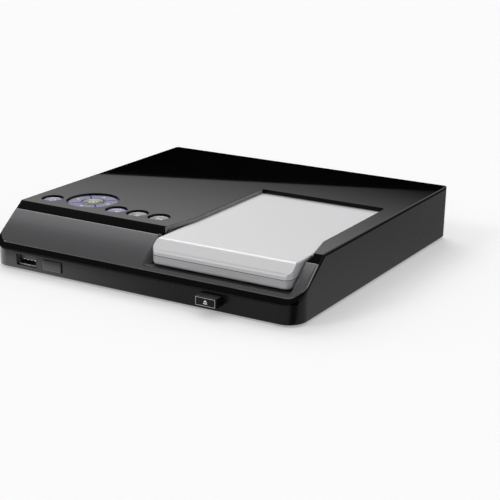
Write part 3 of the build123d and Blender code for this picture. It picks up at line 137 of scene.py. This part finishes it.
def dress(material, *names):
    """Gives solids a material."""
    for name in names:
        NODES[name].data.materials.clear()
        NODES[name].data.materials.append(material)


print("black reads as", linear("000000")[:3], "white as", linear("ffffff")[:3])

# %% [markdown]
# Most surfaces here are one material with one grain: where the grain is high the colour is a little
# lighter, the skin a little rougher and the surface a little raised. One function builds that from a
# single noise, so that the three always agree. The noise is fixed to the object, and its size is given
# in millimetres. Its values lie mostly between 0.3 and 0.7, and that stretch is spread from 0 to 1.

# %% One grain for colour, roughness and relief
GRAIN_LOW, GRAIN_HIGH = 0.3, 0.7


def grain(tree, size_mm, detail=3.0, stretch=(1, 1, 1)):
    """A noise whose blotches are about size_mm across: its raw height, and the same spread from 0 to 1."""
    place = add_node(tree, "ShaderNodeTexCoord").outputs["Object"]
    scaled = add_node(tree, "ShaderNodeMapping", {"Vector": place, "Scale": stretch}).outputs[0]
    scale = 1 / (size_mm * MM)
    noise = add_node(tree, "ShaderNodeTexNoise", {"Vector": scaled, "Scale": scale, "Detail": detail})
    height = noise.outputs["Fac"]
    even = add_node(tree, "ShaderNodeMapRange", {0: height, 1: GRAIN_LOW, 2: GRAIN_HIGH, 3: 0.0, 4: 1.0})
    return height, even.outputs[0]


def paint(tree, even, colours, socket):
    """Blends two colours along the grain into a socket of the shader."""
    dark, light = (linear(code) for code in colours)
    blend = add_node(tree, "ShaderNodeMix", {0: even, 6: dark, 7: light}, data_type="RGBA")
    tree.links.new(blend.outputs[2], socket)


def surface(name, size_mm, colours, roughness=None, relief=None, detail=3.0, stretch=(1, 1, 1),
            **constants):
    """A material of one grain. The relief is its height in mm and how strongly it shows."""
    material, tree, shader = new_material(name, **constants)
    height, even = grain(tree, size_mm, detail, stretch)
    paint(tree, even, colours, shader.inputs["Base Color"])
    if roughness:
        low, high = roughness
        skin = add_node(tree, "ShaderNodeMapRange", {0: even, 3: low, 4: high})
        tree.links.new(skin.outputs[0], shader.inputs["Roughness"])
    if relief:
        tall, strength = relief
        bumps = add_node(tree, "ShaderNodeBump",
                         {"Height": height, "Strength": strength, "Distance": tall * MM})
        tree.links.new(bumps.outputs[0], shader.inputs["Normal"])
    return material


print("grain is spread from", GRAIN_LOW, "to", GRAIN_HIGH)

# %% [markdown]
# ## Piano-black lid
# The lid is ABS, moulded against a mirror-polished steel mould, with no paint on it. Its own colour is
# almost black, so nearly all that the eye gets is the reflection. Two things keep it from looking like
# a black mirror: faint wiping marks that spread the reflection a little, and very slow waves where the
# plastic shrank as it cooled. Wiping marks are some 0.05 mm apart, too fine to show in the picture, so
# they are drawn about ten times coarser. The side walls of the bay's mouth get a lighter grey colour,
# a painted reflection of the drive's lit side, and a box round them picks them out of the lid.

# %% Lid material
WIPE_SIZE, WAVE_SIZE, WAVE_HEIGHT = 0.6, 45.0, 0.003
LID_ROUGHNESS = 0.008, 0.02
PAINTED_REFLECTION_WALLS = (("X", 3.0, 91.0), ("Y", -67.9, 24.9), ("Z", 20.0, 31.3))

lid_gloss, tree, shader = new_material("piano_black_abs", IOR=1.53, Specular_IOR_Level=0.14)
_, wipes = grain(tree, WIPE_SIZE, 4.0, (1, 0.12, 1))
skin = add_node(tree, "ShaderNodeMapRange", {0: wipes, 3: LID_ROUGHNESS[0], 4: LID_ROUGHNESS[1]})
tree.links.new(skin.outputs[0], shader.inputs["Roughness"])
waves, cloud = grain(tree, WAVE_SIZE, 1.0)
bumps = add_node(tree, "ShaderNodeBump", {"Height": waves, "Strength": 1.0, "Distance": WAVE_HEIGHT * MM})
tree.links.new(bumps.outputs[0], shader.inputs["Normal"])

place = add_node(tree, "ShaderNodeTexCoord").outputs["Object"]
axes = add_node(tree, "ShaderNodeSeparateXYZ", {0: place}).outputs
within = [
    add_node(tree, "ShaderNodeMath", {0: axes[axis], 1: (low + high) / 2 * MM, 2: (high - low) / 2 * MM},
             operation="COMPARE").outputs[0]
    for axis, low, high in PAINTED_REFLECTION_WALLS
]
across_mouth = add_node(tree, "ShaderNodeMath", {0: within[0], 1: within[1]}, operation="MULTIPLY")
on_painted_reflection = add_node(tree, "ShaderNodeMath", {0: across_mouth.outputs[0], 1: within[2]}, operation="MULTIPLY")
# Inside the box the lid's colour turns lighter grey: a painted reflection of the drive's lit side.
lid_or_painted_reflection = add_node(tree, "ShaderNodeMix", {0: on_painted_reflection.outputs[0]}, data_type="RGBA")
paint(tree, cloud, ("050505", "080808"), lid_or_painted_reflection.inputs[6])
paint(tree, wipes, ("7c7c7e", "98989a"), lid_or_painted_reflection.inputs[7])
tree.links.new(lid_or_painted_reflection.outputs[2], shader.inputs["Base Color"])
dress(lid_gloss, "top_shell")
print("lid:", lid_gloss.name, "with", len(tree.nodes), "nodes")

# %% [markdown]
# ## Dark grey panel
# The U-shaped panel on the slope is polycarbonate, moulded in a dark grey with very fine metal flakes and
# a half-glossy skin. The flakes are about 0.05 mm, and are drawn at 0.3 mm so that they show at all.

# %% Panel material
panel_grey = surface("flake_grey_polycarbonate", 0.3, ("727274", "828284"), detail=2.0,
                     IOR=1.58, Roughness=0.16, Metallic=0.75)
dress(panel_grey, "front_panel")
print("panel:", panel_grey.name)

# %% [markdown]
# ## Spark-eroded satin housing
# The tray below the lid is ABS moulded in a spark-eroded mould, which leaves a fine even grain. The
# grain is about 0.1 mm and hardly 0.01 mm deep: it gives no sharp reflection, only a soft grey sheen. It
# is drawn at 0.5 mm to show in the picture. The bay's liner is the same plastic with a coarser grain.

# %% Housing and liner
housing_satin = surface("spark_eroded_abs", 0.5, ("0f0f10", "161617"), (0.24, 0.32), (0.012, 0.5),
                        IOR=1.5, Specular_IOR_Level=0.25)
liner_black = surface("matt_black_abs", 0.7, ("2c2c2d", "363637"), (0.45, 0.6), (0.015, 0.5), IOR=1.5)
dress(housing_satin, "lower_housing")
dress(liner_black, "bay_liner")
print("housing and liner:", housing_satin.name, liner_black.name)

# %% [markdown]
# ## The keys
# The keys are clear polycarbonate, painted silver grey inside and lit from below by violet-blue lamps.
# The power key, the ring and the first round key are lit, and the centre key glows a little green. The
# glow is mixed in with emission on the same shader, which is simpler than a lamp under each key and
# looks the same from above. The violet of the glow, and the centre key's green, are also painted into
# the base colour of the lit keys, and the unlit menu and play keys get a faint painted glow.

# %% Key materials
# The tinted base colours of the lit keys and the faint emission of the unlit keys are painted light.
KEY_PAINT = {
    "lit_silver_polycarbonate": (("6c6a82", "83819a"), "5a50c0", 0.06,
                                 ("power_key", "nav_up_key", "nav_down_key", "nav_left_key", "nav_right_key",
                                  "back_key")),
    "silver_polycarbonate": (("6e6e72", "85858a"), "606068", 0.02, ("menu_key", "play_key")),
    "lit_centre_polycarbonate": (("666b62", "7c8272"), "8aa040", 0.05, ("ok_key",)),
}
for name, (colours, glow, strength, keys) in KEY_PAINT.items():
    key_paint = surface(name, 1.2, colours, detail=2.0, IOR=1.58, Roughness=0.22, Metallic=0.3,
                        Emission_Color=linear(glow), Emission_Strength=strength)
    dress(key_paint, *keys)
    print(name, "on", len(keys), "keys")

# %% [markdown]
# ## Blasted and anodised aluminium
# The drive's case is aluminium sheet, blasted with glass beads and anodised clear. The beads leave dimples
# of about 0.1 mm, so the metal has a broad silky shine. The anodised skin is a clear oxide that hides
# part of the metal's mirror, so the shader is only partly metallic. The dimples are drawn at 0.4 mm. The
# lower half of the case is coloured a shade darker, which is painted shade. The disk inside is cast,
# with a rougher and greyer skin.

# %% Drive materials
DRIVE_FINISH = {"roughness": (0.38, 0.48), "relief": (0.006, 0.4), "Metallic": 0.3}
dress(surface("bead_blasted_aluminium", 0.4, ("d4d4d6", "dcdcdd"), **DRIVE_FINISH), "drive_top_cover")
# The darker colour of the lower half is painted shade.
dress(surface("bead_blasted_aluminium_shaded_base", 0.4, ("b6b6b8", "c0c0c2"), **DRIVE_FINISH), "drive_bottom_shell")
dress(surface("cast_aluminium", 0.8, ("8f9092", "a6a7a9"), (0.4, 0.55), Metallic=1.0), "drive_disk_unit")
print("drive:", DRIVE_FINISH)

# %% [markdown]
# ## Fittings, inside and out
# The receiver's window is polycarbonate dyed so dark that only infrared gets through. The button is the
# same satin ABS as the housing, a shade darker. The socket's shell is folded steel with a thin bright
# nickel plate, and its contacts are plated the same way. Rolled and drawn metal has fine lines along its
# rolling direction, so its grain is stretched. The rest is what such a player has: acetal where parts
# slide, nylon connectors, epoxy chips and rubber feet.

# %% Fitting materials
RAISED_SKIN = 0.01, 0.4
ROLLED = (1, 0.1, 1)
EVEN = (1, 1, 1)

dress(surface("infrared_polycarbonate", 3.0, ("141316", "1a191c"), (0.14, 0.2), detail=2.0,
              IOR=1.58, Specular_IOR_Level=0.3), "ir_window")
dress(surface("satin_abs_button", 0.5, ("0b0b0c", "121213"), (0.3, 0.4), (0.012, 0.4),
              IOR=1.5, Specular_IOR_Level=0.25), "eject_button")

METALS = {
    "nickel_plated_steel": (("cbcac6", "dddcd8"), (0.2, 0.32), ROLLED,
                            ("usb_port_shell", "usb_port_contacts", "hdmi_port", "av_jacks",
                             "drive_socket", "button_switches")),
    "drawn_spring_steel": (("8d8f94", "a3a5a9"), (0.25, 0.35), EVEN, ("eject_spring",)),
    "zinc_plated_steel": (("a6a9ad", "bcbfc2"), (0.3, 0.42), EVEN,
                          ("eject_rocker", "rocker_pin", "case_screws")),
}
for name, (colours, roughness, rolling, parts) in METALS.items():
    dress(surface(name, 0.4, colours, roughness, stretch=rolling, Metallic=1.0), *parts)

PLASTICS = {
    "black_nylon": (0.6, ("101010", "1a1a1a"), (0.42, 0.58),
                    ("usb_port_tongue", "dock_connector", "power_jack", "optical_port", "network_port",
                     "av_block")),
    "white_acetal": (0.6, ("cfccc2", "dcd9d0"), (0.3, 0.42), ("ejector_sled",)),
    "moulded_epoxy": (0.3, ("17181a", "202124"), (0.5, 0.65),
                      ("processor", "memory_chips", "capacitors", "ir_receiver")),
    "nitrile_rubber": (0.8, ("141414", "1e1e1e"), (0.7, 0.85), ("rubber_feet",)),
    "black_anodised_aluminium": (0.3, ("17181a", "1f2022"), (0.32, 0.42), ("heat_sink",)),
}
for name, (size_mm, colours, roughness, parts) in PLASTICS.items():
    dress(surface(name, size_mm, colours, roughness, RAISED_SKIN, IOR=1.5), *parts)
print("metals:", list(METALS), "others:", list(PLASTICS))

# %% [markdown]
# ## Circuit boards
# The boards are glass-fibre epoxy under a green solder mask. Copper tracks show through the mask as a
# lighter, slightly raised pattern. A brick pattern gives the look of tracks without drawing each one:
# its joints are the tracks.

# %% Board material
TRACK_SPACING = 6 * MM
board_green, tree, shader = new_material("solder_masked_board", IOR=1.5, Roughness=0.3)
place = add_node(tree, "ShaderNodeTexCoord").outputs["Object"]
tracks = add_node(tree, "ShaderNodeTexBrick", {
    "Vector": place, "Scale": 1 / TRACK_SPACING, "Mortar Size": 0.04,
    "Color1": linear("0f4a26"), "Color2": linear("135a2e"), "Mortar": linear("2a7a45"),
})
bumps = add_node(tree, "ShaderNodeBump",
                 {"Height": tracks.outputs["Fac"], "Strength": 0.6, "Distance": 0.03 * MM})
tree.links.new(tracks.outputs["Color"], shader.inputs["Base Color"])
tree.links.new(bumps.outputs[0], shader.inputs["Normal"])
dress(board_green, "main_board", "button_board", "front_board")
print("boards:", board_green.name)

# %% [markdown]
# ## Printed signs
# The eject button carries the usual sign, a triangle over a bar, and a thin bright line round its face, a
# painted highlight for the edge of the face.
# Print is about 0.02 mm of ink. Each sign is a flat mesh of that kind of thickness that stands on
# the face. A texture could do it too, but a mesh keeps its sharp edge at any size.


# %% Piece helpers
def add_piece(name, bm, material, body):
    """Makes a piece from a finished bmesh, with its material, and lets it ride on a body."""
    bmesh.ops.recalc_face_normals(bm, faces=bm.faces)
    mesh = bpy.data.meshes.new(name)
    bm.to_mesh(mesh)
    bm.free()
    piece = bpy.data.objects.new(name, mesh)
    bpy.context.collection.objects.link(piece)
    mesh.materials.append(material)
    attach(piece, body)
    return piece


def flat_piece(name, outlines, place, across, upwards, thick, body, material):
    """A thin piece cut from outlines, drawn in mm on the plane that two directions span."""
    bm = bmesh.new()
    outward = across.cross(upwards)
    for outline in outlines:
        ground = [bm.verts.new(place + across * (x * MM) + upwards * (y * MM)) for x, y in outline]
        made = bmesh.ops.extrude_face_region(bm, geom=[bm.faces.new(ground)])
        moved = [v for v in made["geom"] if isinstance(v, bmesh.types.BMVert)]
        bmesh.ops.translate(bm, verts=moved, vec=outward * thick)
    return add_piece(name, bm, material, body)


def bar_at(x, y, wide, tall):
    """The outline of an upright bar round a point."""
    x0, x1, y0, y1 = x - wide / 2, x + wide / 2, y - tall / 2, y + tall / 2
    return [(x0, y0), (x1, y0), (x1, y1), (x0, y1)]


def arc_band(radius, width, start, end, steps=20):
    """The outline of a band along a circle, between two angles in degrees."""
    angles = [radians(start + (end - start) * i / steps) for i in range(steps + 1)]
    outer = [((radius + width / 2) * cos(a), (radius + width / 2) * sin(a)) for a in angles]
    inner = [((radius - width / 2) * cos(a), (radius - width / 2) * sin(a)) for a in reversed(angles)]
    return outer + inner


def arrow(angle, size):
    """The outline of a small triangle that points along an angle in degrees."""
    turns = [radians(angle + turn) for turn in (0, 125, 235)]
    return [(size * cos(a), size * sin(a)) for a in turns]


print("a bar has", len(bar_at(0, 0, 1, 1)), "corners, a ring", len(arc_band(1, 0.2, 0, 359)))

# %% Eject sign and painted edge highlight
SIGN_THICK = 0.06 * MM
BUTTON_MIDDLE = 7.6 * MM
HALF_FACE, FACE_TALL, LINE = 5.7, 2.1, 0.14

# The ink's faint emission is a painted glow that makes the print brighter than the lamps light it.
glowing_sign_ink = surface("white_pad_print_glowing", 0.25, ("c8c8cc", "e4e4e8"), (0.4, 0.55), detail=2.0, IOR=1.5,
                   Emission_Color=linear("d8d8dc"), Emission_Strength=0.12)
eject_low, eject_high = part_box("eject_button")
button_face = Vector(((eject_low.x + eject_high.x) / 2, eject_low.y, BUTTON_MIDDLE))
triangle = [(-1.15, -0.1), (1.15, -0.1), (0, 1.15)]
# The bright line round the face is a painted highlight of the face's edge.
side_middle, end_middle = HALF_FACE - LINE / 2, FACE_TALL - LINE / 2
painted_edge_highlight = [bar_at(0, y, 2 * HALF_FACE, LINE) for y in (end_middle, -end_middle)]
painted_edge_highlight += [bar_at(x, 0, LINE, 2 * (FACE_TALL - LINE)) for x in (-side_middle, side_middle)]
BUTTON_SIGNS = {"eject_sign": [triangle, bar_at(0, -0.775, 2.3, 0.55)], "eject_frame_line": painted_edge_highlight}
for name, outlines in BUTTON_SIGNS.items():
    flat_piece(name, outlines, button_face, X, Z, SIGN_THICK, "eject_button", glowing_sign_ink)
print("button face in mm:", [round(v / MM, 1) for v in button_face])

# %% [markdown]
# ## Signs and light guides of the keys
# Every key has its sign printed in the hollow of its top: a broken ring with a bar for power, arrows on
# the ring, a return arrow, three bars for the menu, and a triangle with two bars for play and pause. A
# light guide of frosted acrylic lies in the gap round the lit keys, and gives them a violet outline.

# %% Key signs
KEY_HOLLOW = 0.4 * MM
ARROW_RADIUS = 10.4 * MM
KEY_SIGNS = {
    "power_key": [arc_band(1.5, 0.45, 125, 415), bar_at(0, 1.3, 0.45, 1.7)],
    "back_key": [arrow(180, 1.5), bar_at(0.9, 0, 1.8, 0.55), bar_at(1.6, 0.75, 0.5, 1.9)],
    "menu_key": [bar_at(0, y, 2.8, 0.5) for y in (1.1, 0, -1.1)],
    "play_key": [[(-1.6, -1.4), (0.4, 0), (-1.6, 1.4)]] + [bar_at(x, 0, 0.45, 2.4) for x in (0.95, 1.75)],
    "ok_key": [arc_band(2.3, 0.5, 0, 359), arc_band(0.5, 0.9, 0, 359)],
}
RING_ARROWS = {"nav_up_key": 90, "nav_down_key": 270, "nav_left_key": 180, "nav_right_key": 0}


def middle_of(node):
    """The middle of a solid's box."""
    low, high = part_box(node)
    return (low + high) / 2


for key, outlines in KEY_SIGNS.items():
    place = middle_of(key)
    place.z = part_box(key)[1].z - KEY_HOLLOW
    flat_piece(key + "_sign", outlines, place, X, Y, 2 * SIGN_THICK, key, glowing_sign_ink)
for key, angle in RING_ARROWS.items():
    outward = (middle_of(key) - middle_of("ok_key")).to_2d().normalized().to_3d()
    place = middle_of("ok_key") + outward * ARROW_RADIUS
    place.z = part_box(key)[1].z
    flat_piece(key + "_sign", [arrow(angle, 1.3)], place, X, Y, 2 * SIGN_THICK, key, glowing_sign_ink)
print("signs:", len(KEY_SIGNS) + len(RING_ARROWS))

# %% Light guides
frosted, tree, shader = new_material("frosted_violet_acrylic", IOR=1.49, Roughness=0.5,
                                     Emission_Strength=0.55)
_, cloudy = grain(tree, 2.5, 2.0)
paint(tree, cloudy, ("4a4890", "6a67b4"), shader.inputs["Base Color"])
paint(tree, cloudy, ("332f8a", "7d79d8"), shader.inputs["Emission Color"])

KEY_RADIUS, RING_RADIUS, CENTRE_GAP_RADIUS = 5.5, 14.1, 6.5
GUIDE_OUT = 0.33
GUIDE_DEPTH, GUIDE_THICK = 1.4 * MM, 0.9 * MM
LIGHT_GUIDES = {
    "power_light_guide": ("power_key", KEY_RADIUS + GUIDE_OUT, 0.2),
    "back_light_guide": ("back_key", KEY_RADIUS + GUIDE_OUT, 0.2),
    "ring_light_guide": ("ok_key", RING_RADIUS + GUIDE_OUT, 0.2),
    "centre_light_guide": ("ok_key", CENTRE_GAP_RADIUS, 0.4),
}
for name, (key, radius, width) in LIGHT_GUIDES.items():
    place = middle_of(key)
    place.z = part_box("top_shell")[1].z - GUIDE_DEPTH - GUIDE_THICK
    halves = [arc_band(radius, width, start, start + 180, 40) for start in (0, 180)]
    flat_piece(name, halves, place, X, Y, GUIDE_THICK, "housing", frosted)
print("light guides:", list(LIGHT_GUIDES))

# %% [markdown]
# ## The side of the bay and the drive's seam
# Left of the drive the panel does not stop at a sharp step: a matt ramp turns down from it towards the
# bay. The ramp is one profile, written as pairs of place and drop, that follows the slope of the front.
# Where the two halves of the drive's case meet, a thin dark strip in the seam is painted shade for the shadow
# in the gap.

# %% Ramp beside the drive
SLOPE = radians(38)
RAMP_PROFILE = [(1.62, 0.02), (2.4, 0.2), (3.25, 0.42), (3.8, 0.85), (4.5, 1.35), (5.1, 1.75),
                (5.62, 2.05)]
PANEL_TOP_Y, PANEL_TOP_Z = -71.0 * MM, 28.6 * MM
FLOOR_OF_BAY = 15.98 * MM
RAMP_FRONT, RAMP_BACK, RAMP_STEPS = -87.25 * MM, -71.05 * MM, 24
RAMP_THICK = 0.25 * MM

bm = bmesh.new()
rows = []
for step in range(RAMP_STEPS + 1):
    y = RAMP_FRONT + (RAMP_BACK - RAMP_FRONT) * step / RAMP_STEPS
    row = []
    for x, drop in RAMP_PROFILE:
        z = PANEL_TOP_Z + (y - PANEL_TOP_Y) * tan(SLOPE) - drop * MM / cos(SLOPE)
        row.append(bm.verts.new((x * MM, y, max(z, FLOOR_OF_BAY - 0.1 * MM * drop))))
    rows.append(row)
for near, far in zip(rows, rows[1:]):
    for column in range(len(RAMP_PROFILE) - 1):
        bm.faces.new((near[column], near[column + 1], far[column + 1], far[column]))
ramp = add_piece("bay_side_ramp", bm, liner_black, "housing")
ramp.data.polygons.foreach_set("use_smooth", [True] * len(ramp.data.polygons))
skin = ramp.modifiers.new("thickness", "SOLIDIFY")
skin.thickness, skin.offset = RAMP_THICK, -1
print("ramp faces:", len(ramp.data.polygons))

# %% Dark strip in the drive's seam, painted shade
CORNER, PROUD, INWARD = 4.0 * MM, 0.03 * MM, 0.6 * MM
SEAM_STRIP_LOW, SEAM_STRIP_HIGH = -0.24 * MM, 0.06 * MM
CORNER_STEPS = 8
shell_low, shell_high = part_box("drive_bottom_shell")
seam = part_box("drive_top_cover")[0].z

bm = bmesh.new()
loop = []
for cx, cy, start in (
    (shell_high.x - CORNER, shell_high.y - CORNER, 0),
    (shell_low.x + CORNER, shell_high.y - CORNER, 90),
    (shell_low.x + CORNER, shell_low.y + CORNER, 180),
    (shell_high.x - CORNER, shell_low.y + CORNER, 270),
):
    for step in range(CORNER_STEPS + 1):
        a = radians(start + step * 90 / CORNER_STEPS)
        loop.append((cx, cy, cos(a), sin(a)))
rings = []
for reach, z in (
    (CORNER + PROUD, SEAM_STRIP_LOW),
    (CORNER + PROUD, SEAM_STRIP_HIGH),
    (CORNER - INWARD, SEAM_STRIP_HIGH),
    (CORNER - INWARD, SEAM_STRIP_LOW),
):
    rings.append([bm.verts.new((cx + c * reach, cy + s * reach, seam + z)) for cx, cy, c, s in loop])
for first, second in zip(rings, rings[1:] + rings[:1]):
    for i in range(len(loop)):
        j = (i + 1) % len(loop)
        bm.faces.new((first[i], first[j], second[j], second[i]))
# The grey strip stands in for the seam's shadow: painted shade.
seam_shade_grey = surface("grey_seam_shade", 0.6, ("3c3c3e", "4a4a4c"), (0.6, 0.75), RAISED_SKIN, IOR=1.5)
add_piece("drive_seam_shade_strip", bm, seam_shade_grey, "drive")

# %% [markdown]
# ## Floor and light
# The player stands on a plain pale floor. Two wide soft suns and an even sky light it, so that a colour
# comes out about as it is written. What a mirror-black lid shows is its surroundings. In the studio a
# large light card hung behind the player, and its lower edge gives the sharp line across the lid. A
# light box overhead makes the bright upper part of the panel. Both are drawn into the sky, for
# reflections only, as brightness by direction. The floor does the same for the glossy sides: in
# reflections it is brighter at the left front, and dark in the one direction that the corner sees.


# %% Brightness that changes softly
def soft_steps(tree, steps):
    """Multiplies brightnesses. Each goes from low to high while its source goes from start to end."""
    product = None
    for source, start, end, low, high, *shape in steps:
        step = add_node(tree, "ShaderNodeMapRange", {0: source, 1: start, 2: end, 3: low, 4: high},
                        interpolation_type=shape[0] if shape else "SMOOTHSTEP").outputs[0]
        if product is not None:
            step = add_node(tree, "ShaderNodeMath", {0: product, 1: step}, operation="MULTIPLY").outputs[0]
        product = step
    return product


def seen_by(tree, kind, otherwise, seen):
    """Shows one shader to a kind of ray and another to the rest."""
    path = add_node(tree, "ShaderNodeLightPath").outputs[kind]
    return add_node(tree, "ShaderNodeMixShader", {0: path, 1: otherwise, 2: seen}).outputs[0]


print("rays told apart: camera and glossy")

# %% Floor
FLOOR_SIZE = 6.0
FLOOR_LIFT = 0.3
LEFT_GLOW, LEFT_FROM, LEFT_TO = 3.0, 30 * MM, -130 * MM
GLOW_FRONT, GLOW_BACK = -118 * MM, -106 * MM
FRONT_LEVEL, BACK_LEVEL, FRONT_END, BACK_END = 0.62, 0.4, -100 * MM, 110 * MM
CORNER_AT, CORNER_WAY = Vector((90, -91, 0)) * MM, Vector((0.9, -0.436, 0))
GAP_STARTS, GAP_FULL = 0.84, 0.97

bm = bmesh.new()
bmesh.ops.create_grid(bm, x_segments=1, y_segments=1, size=FLOOR_SIZE)
mesh = bpy.data.meshes.new("floor")
bm.to_mesh(mesh)
bm.free()
floor = bpy.data.objects.new("floor", mesh)
bpy.context.collection.objects.link(floor)
floor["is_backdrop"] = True

floor_paper = bpy.data.materials.new("pale_floor_paper")
floor_paper.use_nodes = True
tree = floor_paper.node_tree
tree.nodes.clear()
paper = add_node(tree, "ShaderNodeBsdfDiffuse")
_, fibre = grain(tree, 2.0, 3.0)
paint(tree, fibre, ("ececec", "eeeeee"), paper.inputs["Color"])
lift = add_node(tree, "ShaderNodeEmission", {"Strength": FLOOR_LIFT})
lifted = add_node(tree, "ShaderNodeAddShader", {0: paper.outputs[0], 1: lift.outputs[0]})
shown = seen_by(tree, "Is Camera Ray", paper.outputs[0], lifted.outputs[0])

place = add_node(tree, "ShaderNodeTexCoord").outputs["Object"]
axes = add_node(tree, "ShaderNodeSeparateXYZ", {0: place}).outputs
left_front = soft_steps(tree, [(axes["X"], LEFT_FROM, LEFT_TO, 0.0, LEFT_GLOW),
                               (axes["Y"], GLOW_FRONT, GLOW_BACK, 0.0, 1.0)])
even = soft_steps(tree, [(axes["Y"], FRONT_END, BACK_END, FRONT_LEVEL, BACK_LEVEL)])
both = add_node(tree, "ShaderNodeMath", {0: left_front, 1: even}, operation="ADD")
offset = add_node(tree, "ShaderNodeVectorMath", {0: place, 1: CORNER_AT}, operation="SUBTRACT").outputs[0]
onward = add_node(tree, "ShaderNodeVectorMath", {0: offset, 1: CORNER_WAY}, operation="DOT_PRODUCT")
length = add_node(tree, "ShaderNodeVectorMath", {0: offset}, operation="LENGTH")
share = add_node(tree, "ShaderNodeMath", {0: onward.outputs["Value"], 1: length.outputs["Value"]},
                 operation="DIVIDE")
gap = soft_steps(tree, [(share.outputs[0], GAP_STARTS, GAP_FULL, 1.0, 0.0)])
cloth = add_node(tree, "ShaderNodeMath", {0: both.outputs[0], 1: gap}, operation="MULTIPLY")
mirrored = add_node(tree, "ShaderNodeEmission", {"Strength": cloth.outputs[0]})
add_node(tree, "ShaderNodeOutputMaterial",
         {"Surface": seen_by(tree, "Is Glossy Ray", shown, mirrored.outputs[0])})
mesh.materials.append(floor_paper)
print("floor:", FLOOR_SIZE * 2, "m wide")

# %% Two soft lamps
LAMPS = {
    "crest_lamp": (Vector((-0.504, 0.478, 0.718)), 0.68, 40),
    "front_lamp": (Vector((-0.52, -0.63, 0.576)), 0.44, 18),
}
for name, (comes_from, energy, width) in LAMPS.items():
    lamp_data = bpy.data.lights.new(name, "SUN")
    lamp_data.energy = energy
    lamp_data.angle = radians(width)
    lamp = bpy.data.objects.new(name, lamp_data)
    lamp.rotation_mode = "QUATERNION"
    lamp.rotation_quaternion = comes_from.to_track_quat("Z", "Y")
    bpy.context.collection.objects.link(lamp)
print("lamps:", list(LAMPS))

# %% Sky, light card and light box
SKY_LEVEL, CAMERA_WHITE = 0.55, 1.0
CARD_FALL, CARD_BASE = Vector((-2.8, 0, 16.1)), -5.12
CARD_LOW, CARD_TOP = 0.05, 1.3
EDGE_SOFT = 0.0004
BOX_FRONT, BOX_BACK = -0.1, 0.01
BOX_DARK, BOX_BRIGHT = 0.18, 1.25


def ray(heading, climb):
    """The direction with a heading to the left of +Y and a climb, both in degrees."""
    a, e = radians(heading), radians(climb)
    return Vector((-sin(a) * cos(e), cos(a) * cos(e), sin(e)))


card_edge = ray(37.2, 14.17).cross(ray(22.3, 14.76)).normalized()
card_edge = card_edge if card_edge.z > 0 else -card_edge

world = bpy.data.worlds.new("studio")
bpy.context.scene.world = world
world.use_nodes = True
tree = world.node_tree
tree.nodes.clear()
toward = add_node(tree, "ShaderNodeTexCoord").outputs["Generated"]
axes = add_node(tree, "ShaderNodeSeparateXYZ", {0: toward}).outputs
down_card = add_node(tree, "ShaderNodeVectorMath", {0: toward, 1: CARD_FALL}, operation="DOT_PRODUCT")
past_edge = add_node(tree, "ShaderNodeVectorMath", {0: toward, 1: card_edge}, operation="DOT_PRODUCT")
card = soft_steps(tree, [
    (down_card.outputs["Value"], CARD_LOW - CARD_BASE, CARD_TOP - CARD_BASE, CARD_LOW, CARD_TOP, "LINEAR"),
    (past_edge.outputs["Value"], -EDGE_SOFT, EDGE_SOFT, 0.0, 1.0),
    (axes["Z"], 0.32, 0.45, 1.0, 0.3),
    (axes["Y"], 0.1, 0.4, 0.0, 1.0),
])
light_box = soft_steps(tree, [
    (axes["Y"], BOX_FRONT, BOX_BACK, BOX_DARK, BOX_BRIGHT),
    (axes["Z"], 0.45, 0.65, 0.0, 1.0),
])
cards = add_node(tree, "ShaderNodeMath", {0: card, 1: light_box}, operation="ADD")
white = linear("ffffff")
even_sky, card_sky, white_sky = (
    add_node(tree, "ShaderNodeBackground", {"Color": white, "Strength": strength}).outputs[0]
    for strength in (SKY_LEVEL, cards.outputs[0], CAMERA_WHITE)
)
for_gloss = seen_by(tree, "Is Glossy Ray", even_sky, card_sky)
add_node(tree, "ShaderNodeOutputWorld", {"Surface": seen_by(tree, "Is Camera Ray", for_gloss, white_sky)})
print("edge of the light card:", [round(v, 3) for v in card_edge])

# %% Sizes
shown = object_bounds()
print("visual size in mm:", [round(v / MM, 1) for v in shown[1] - shown[0]])
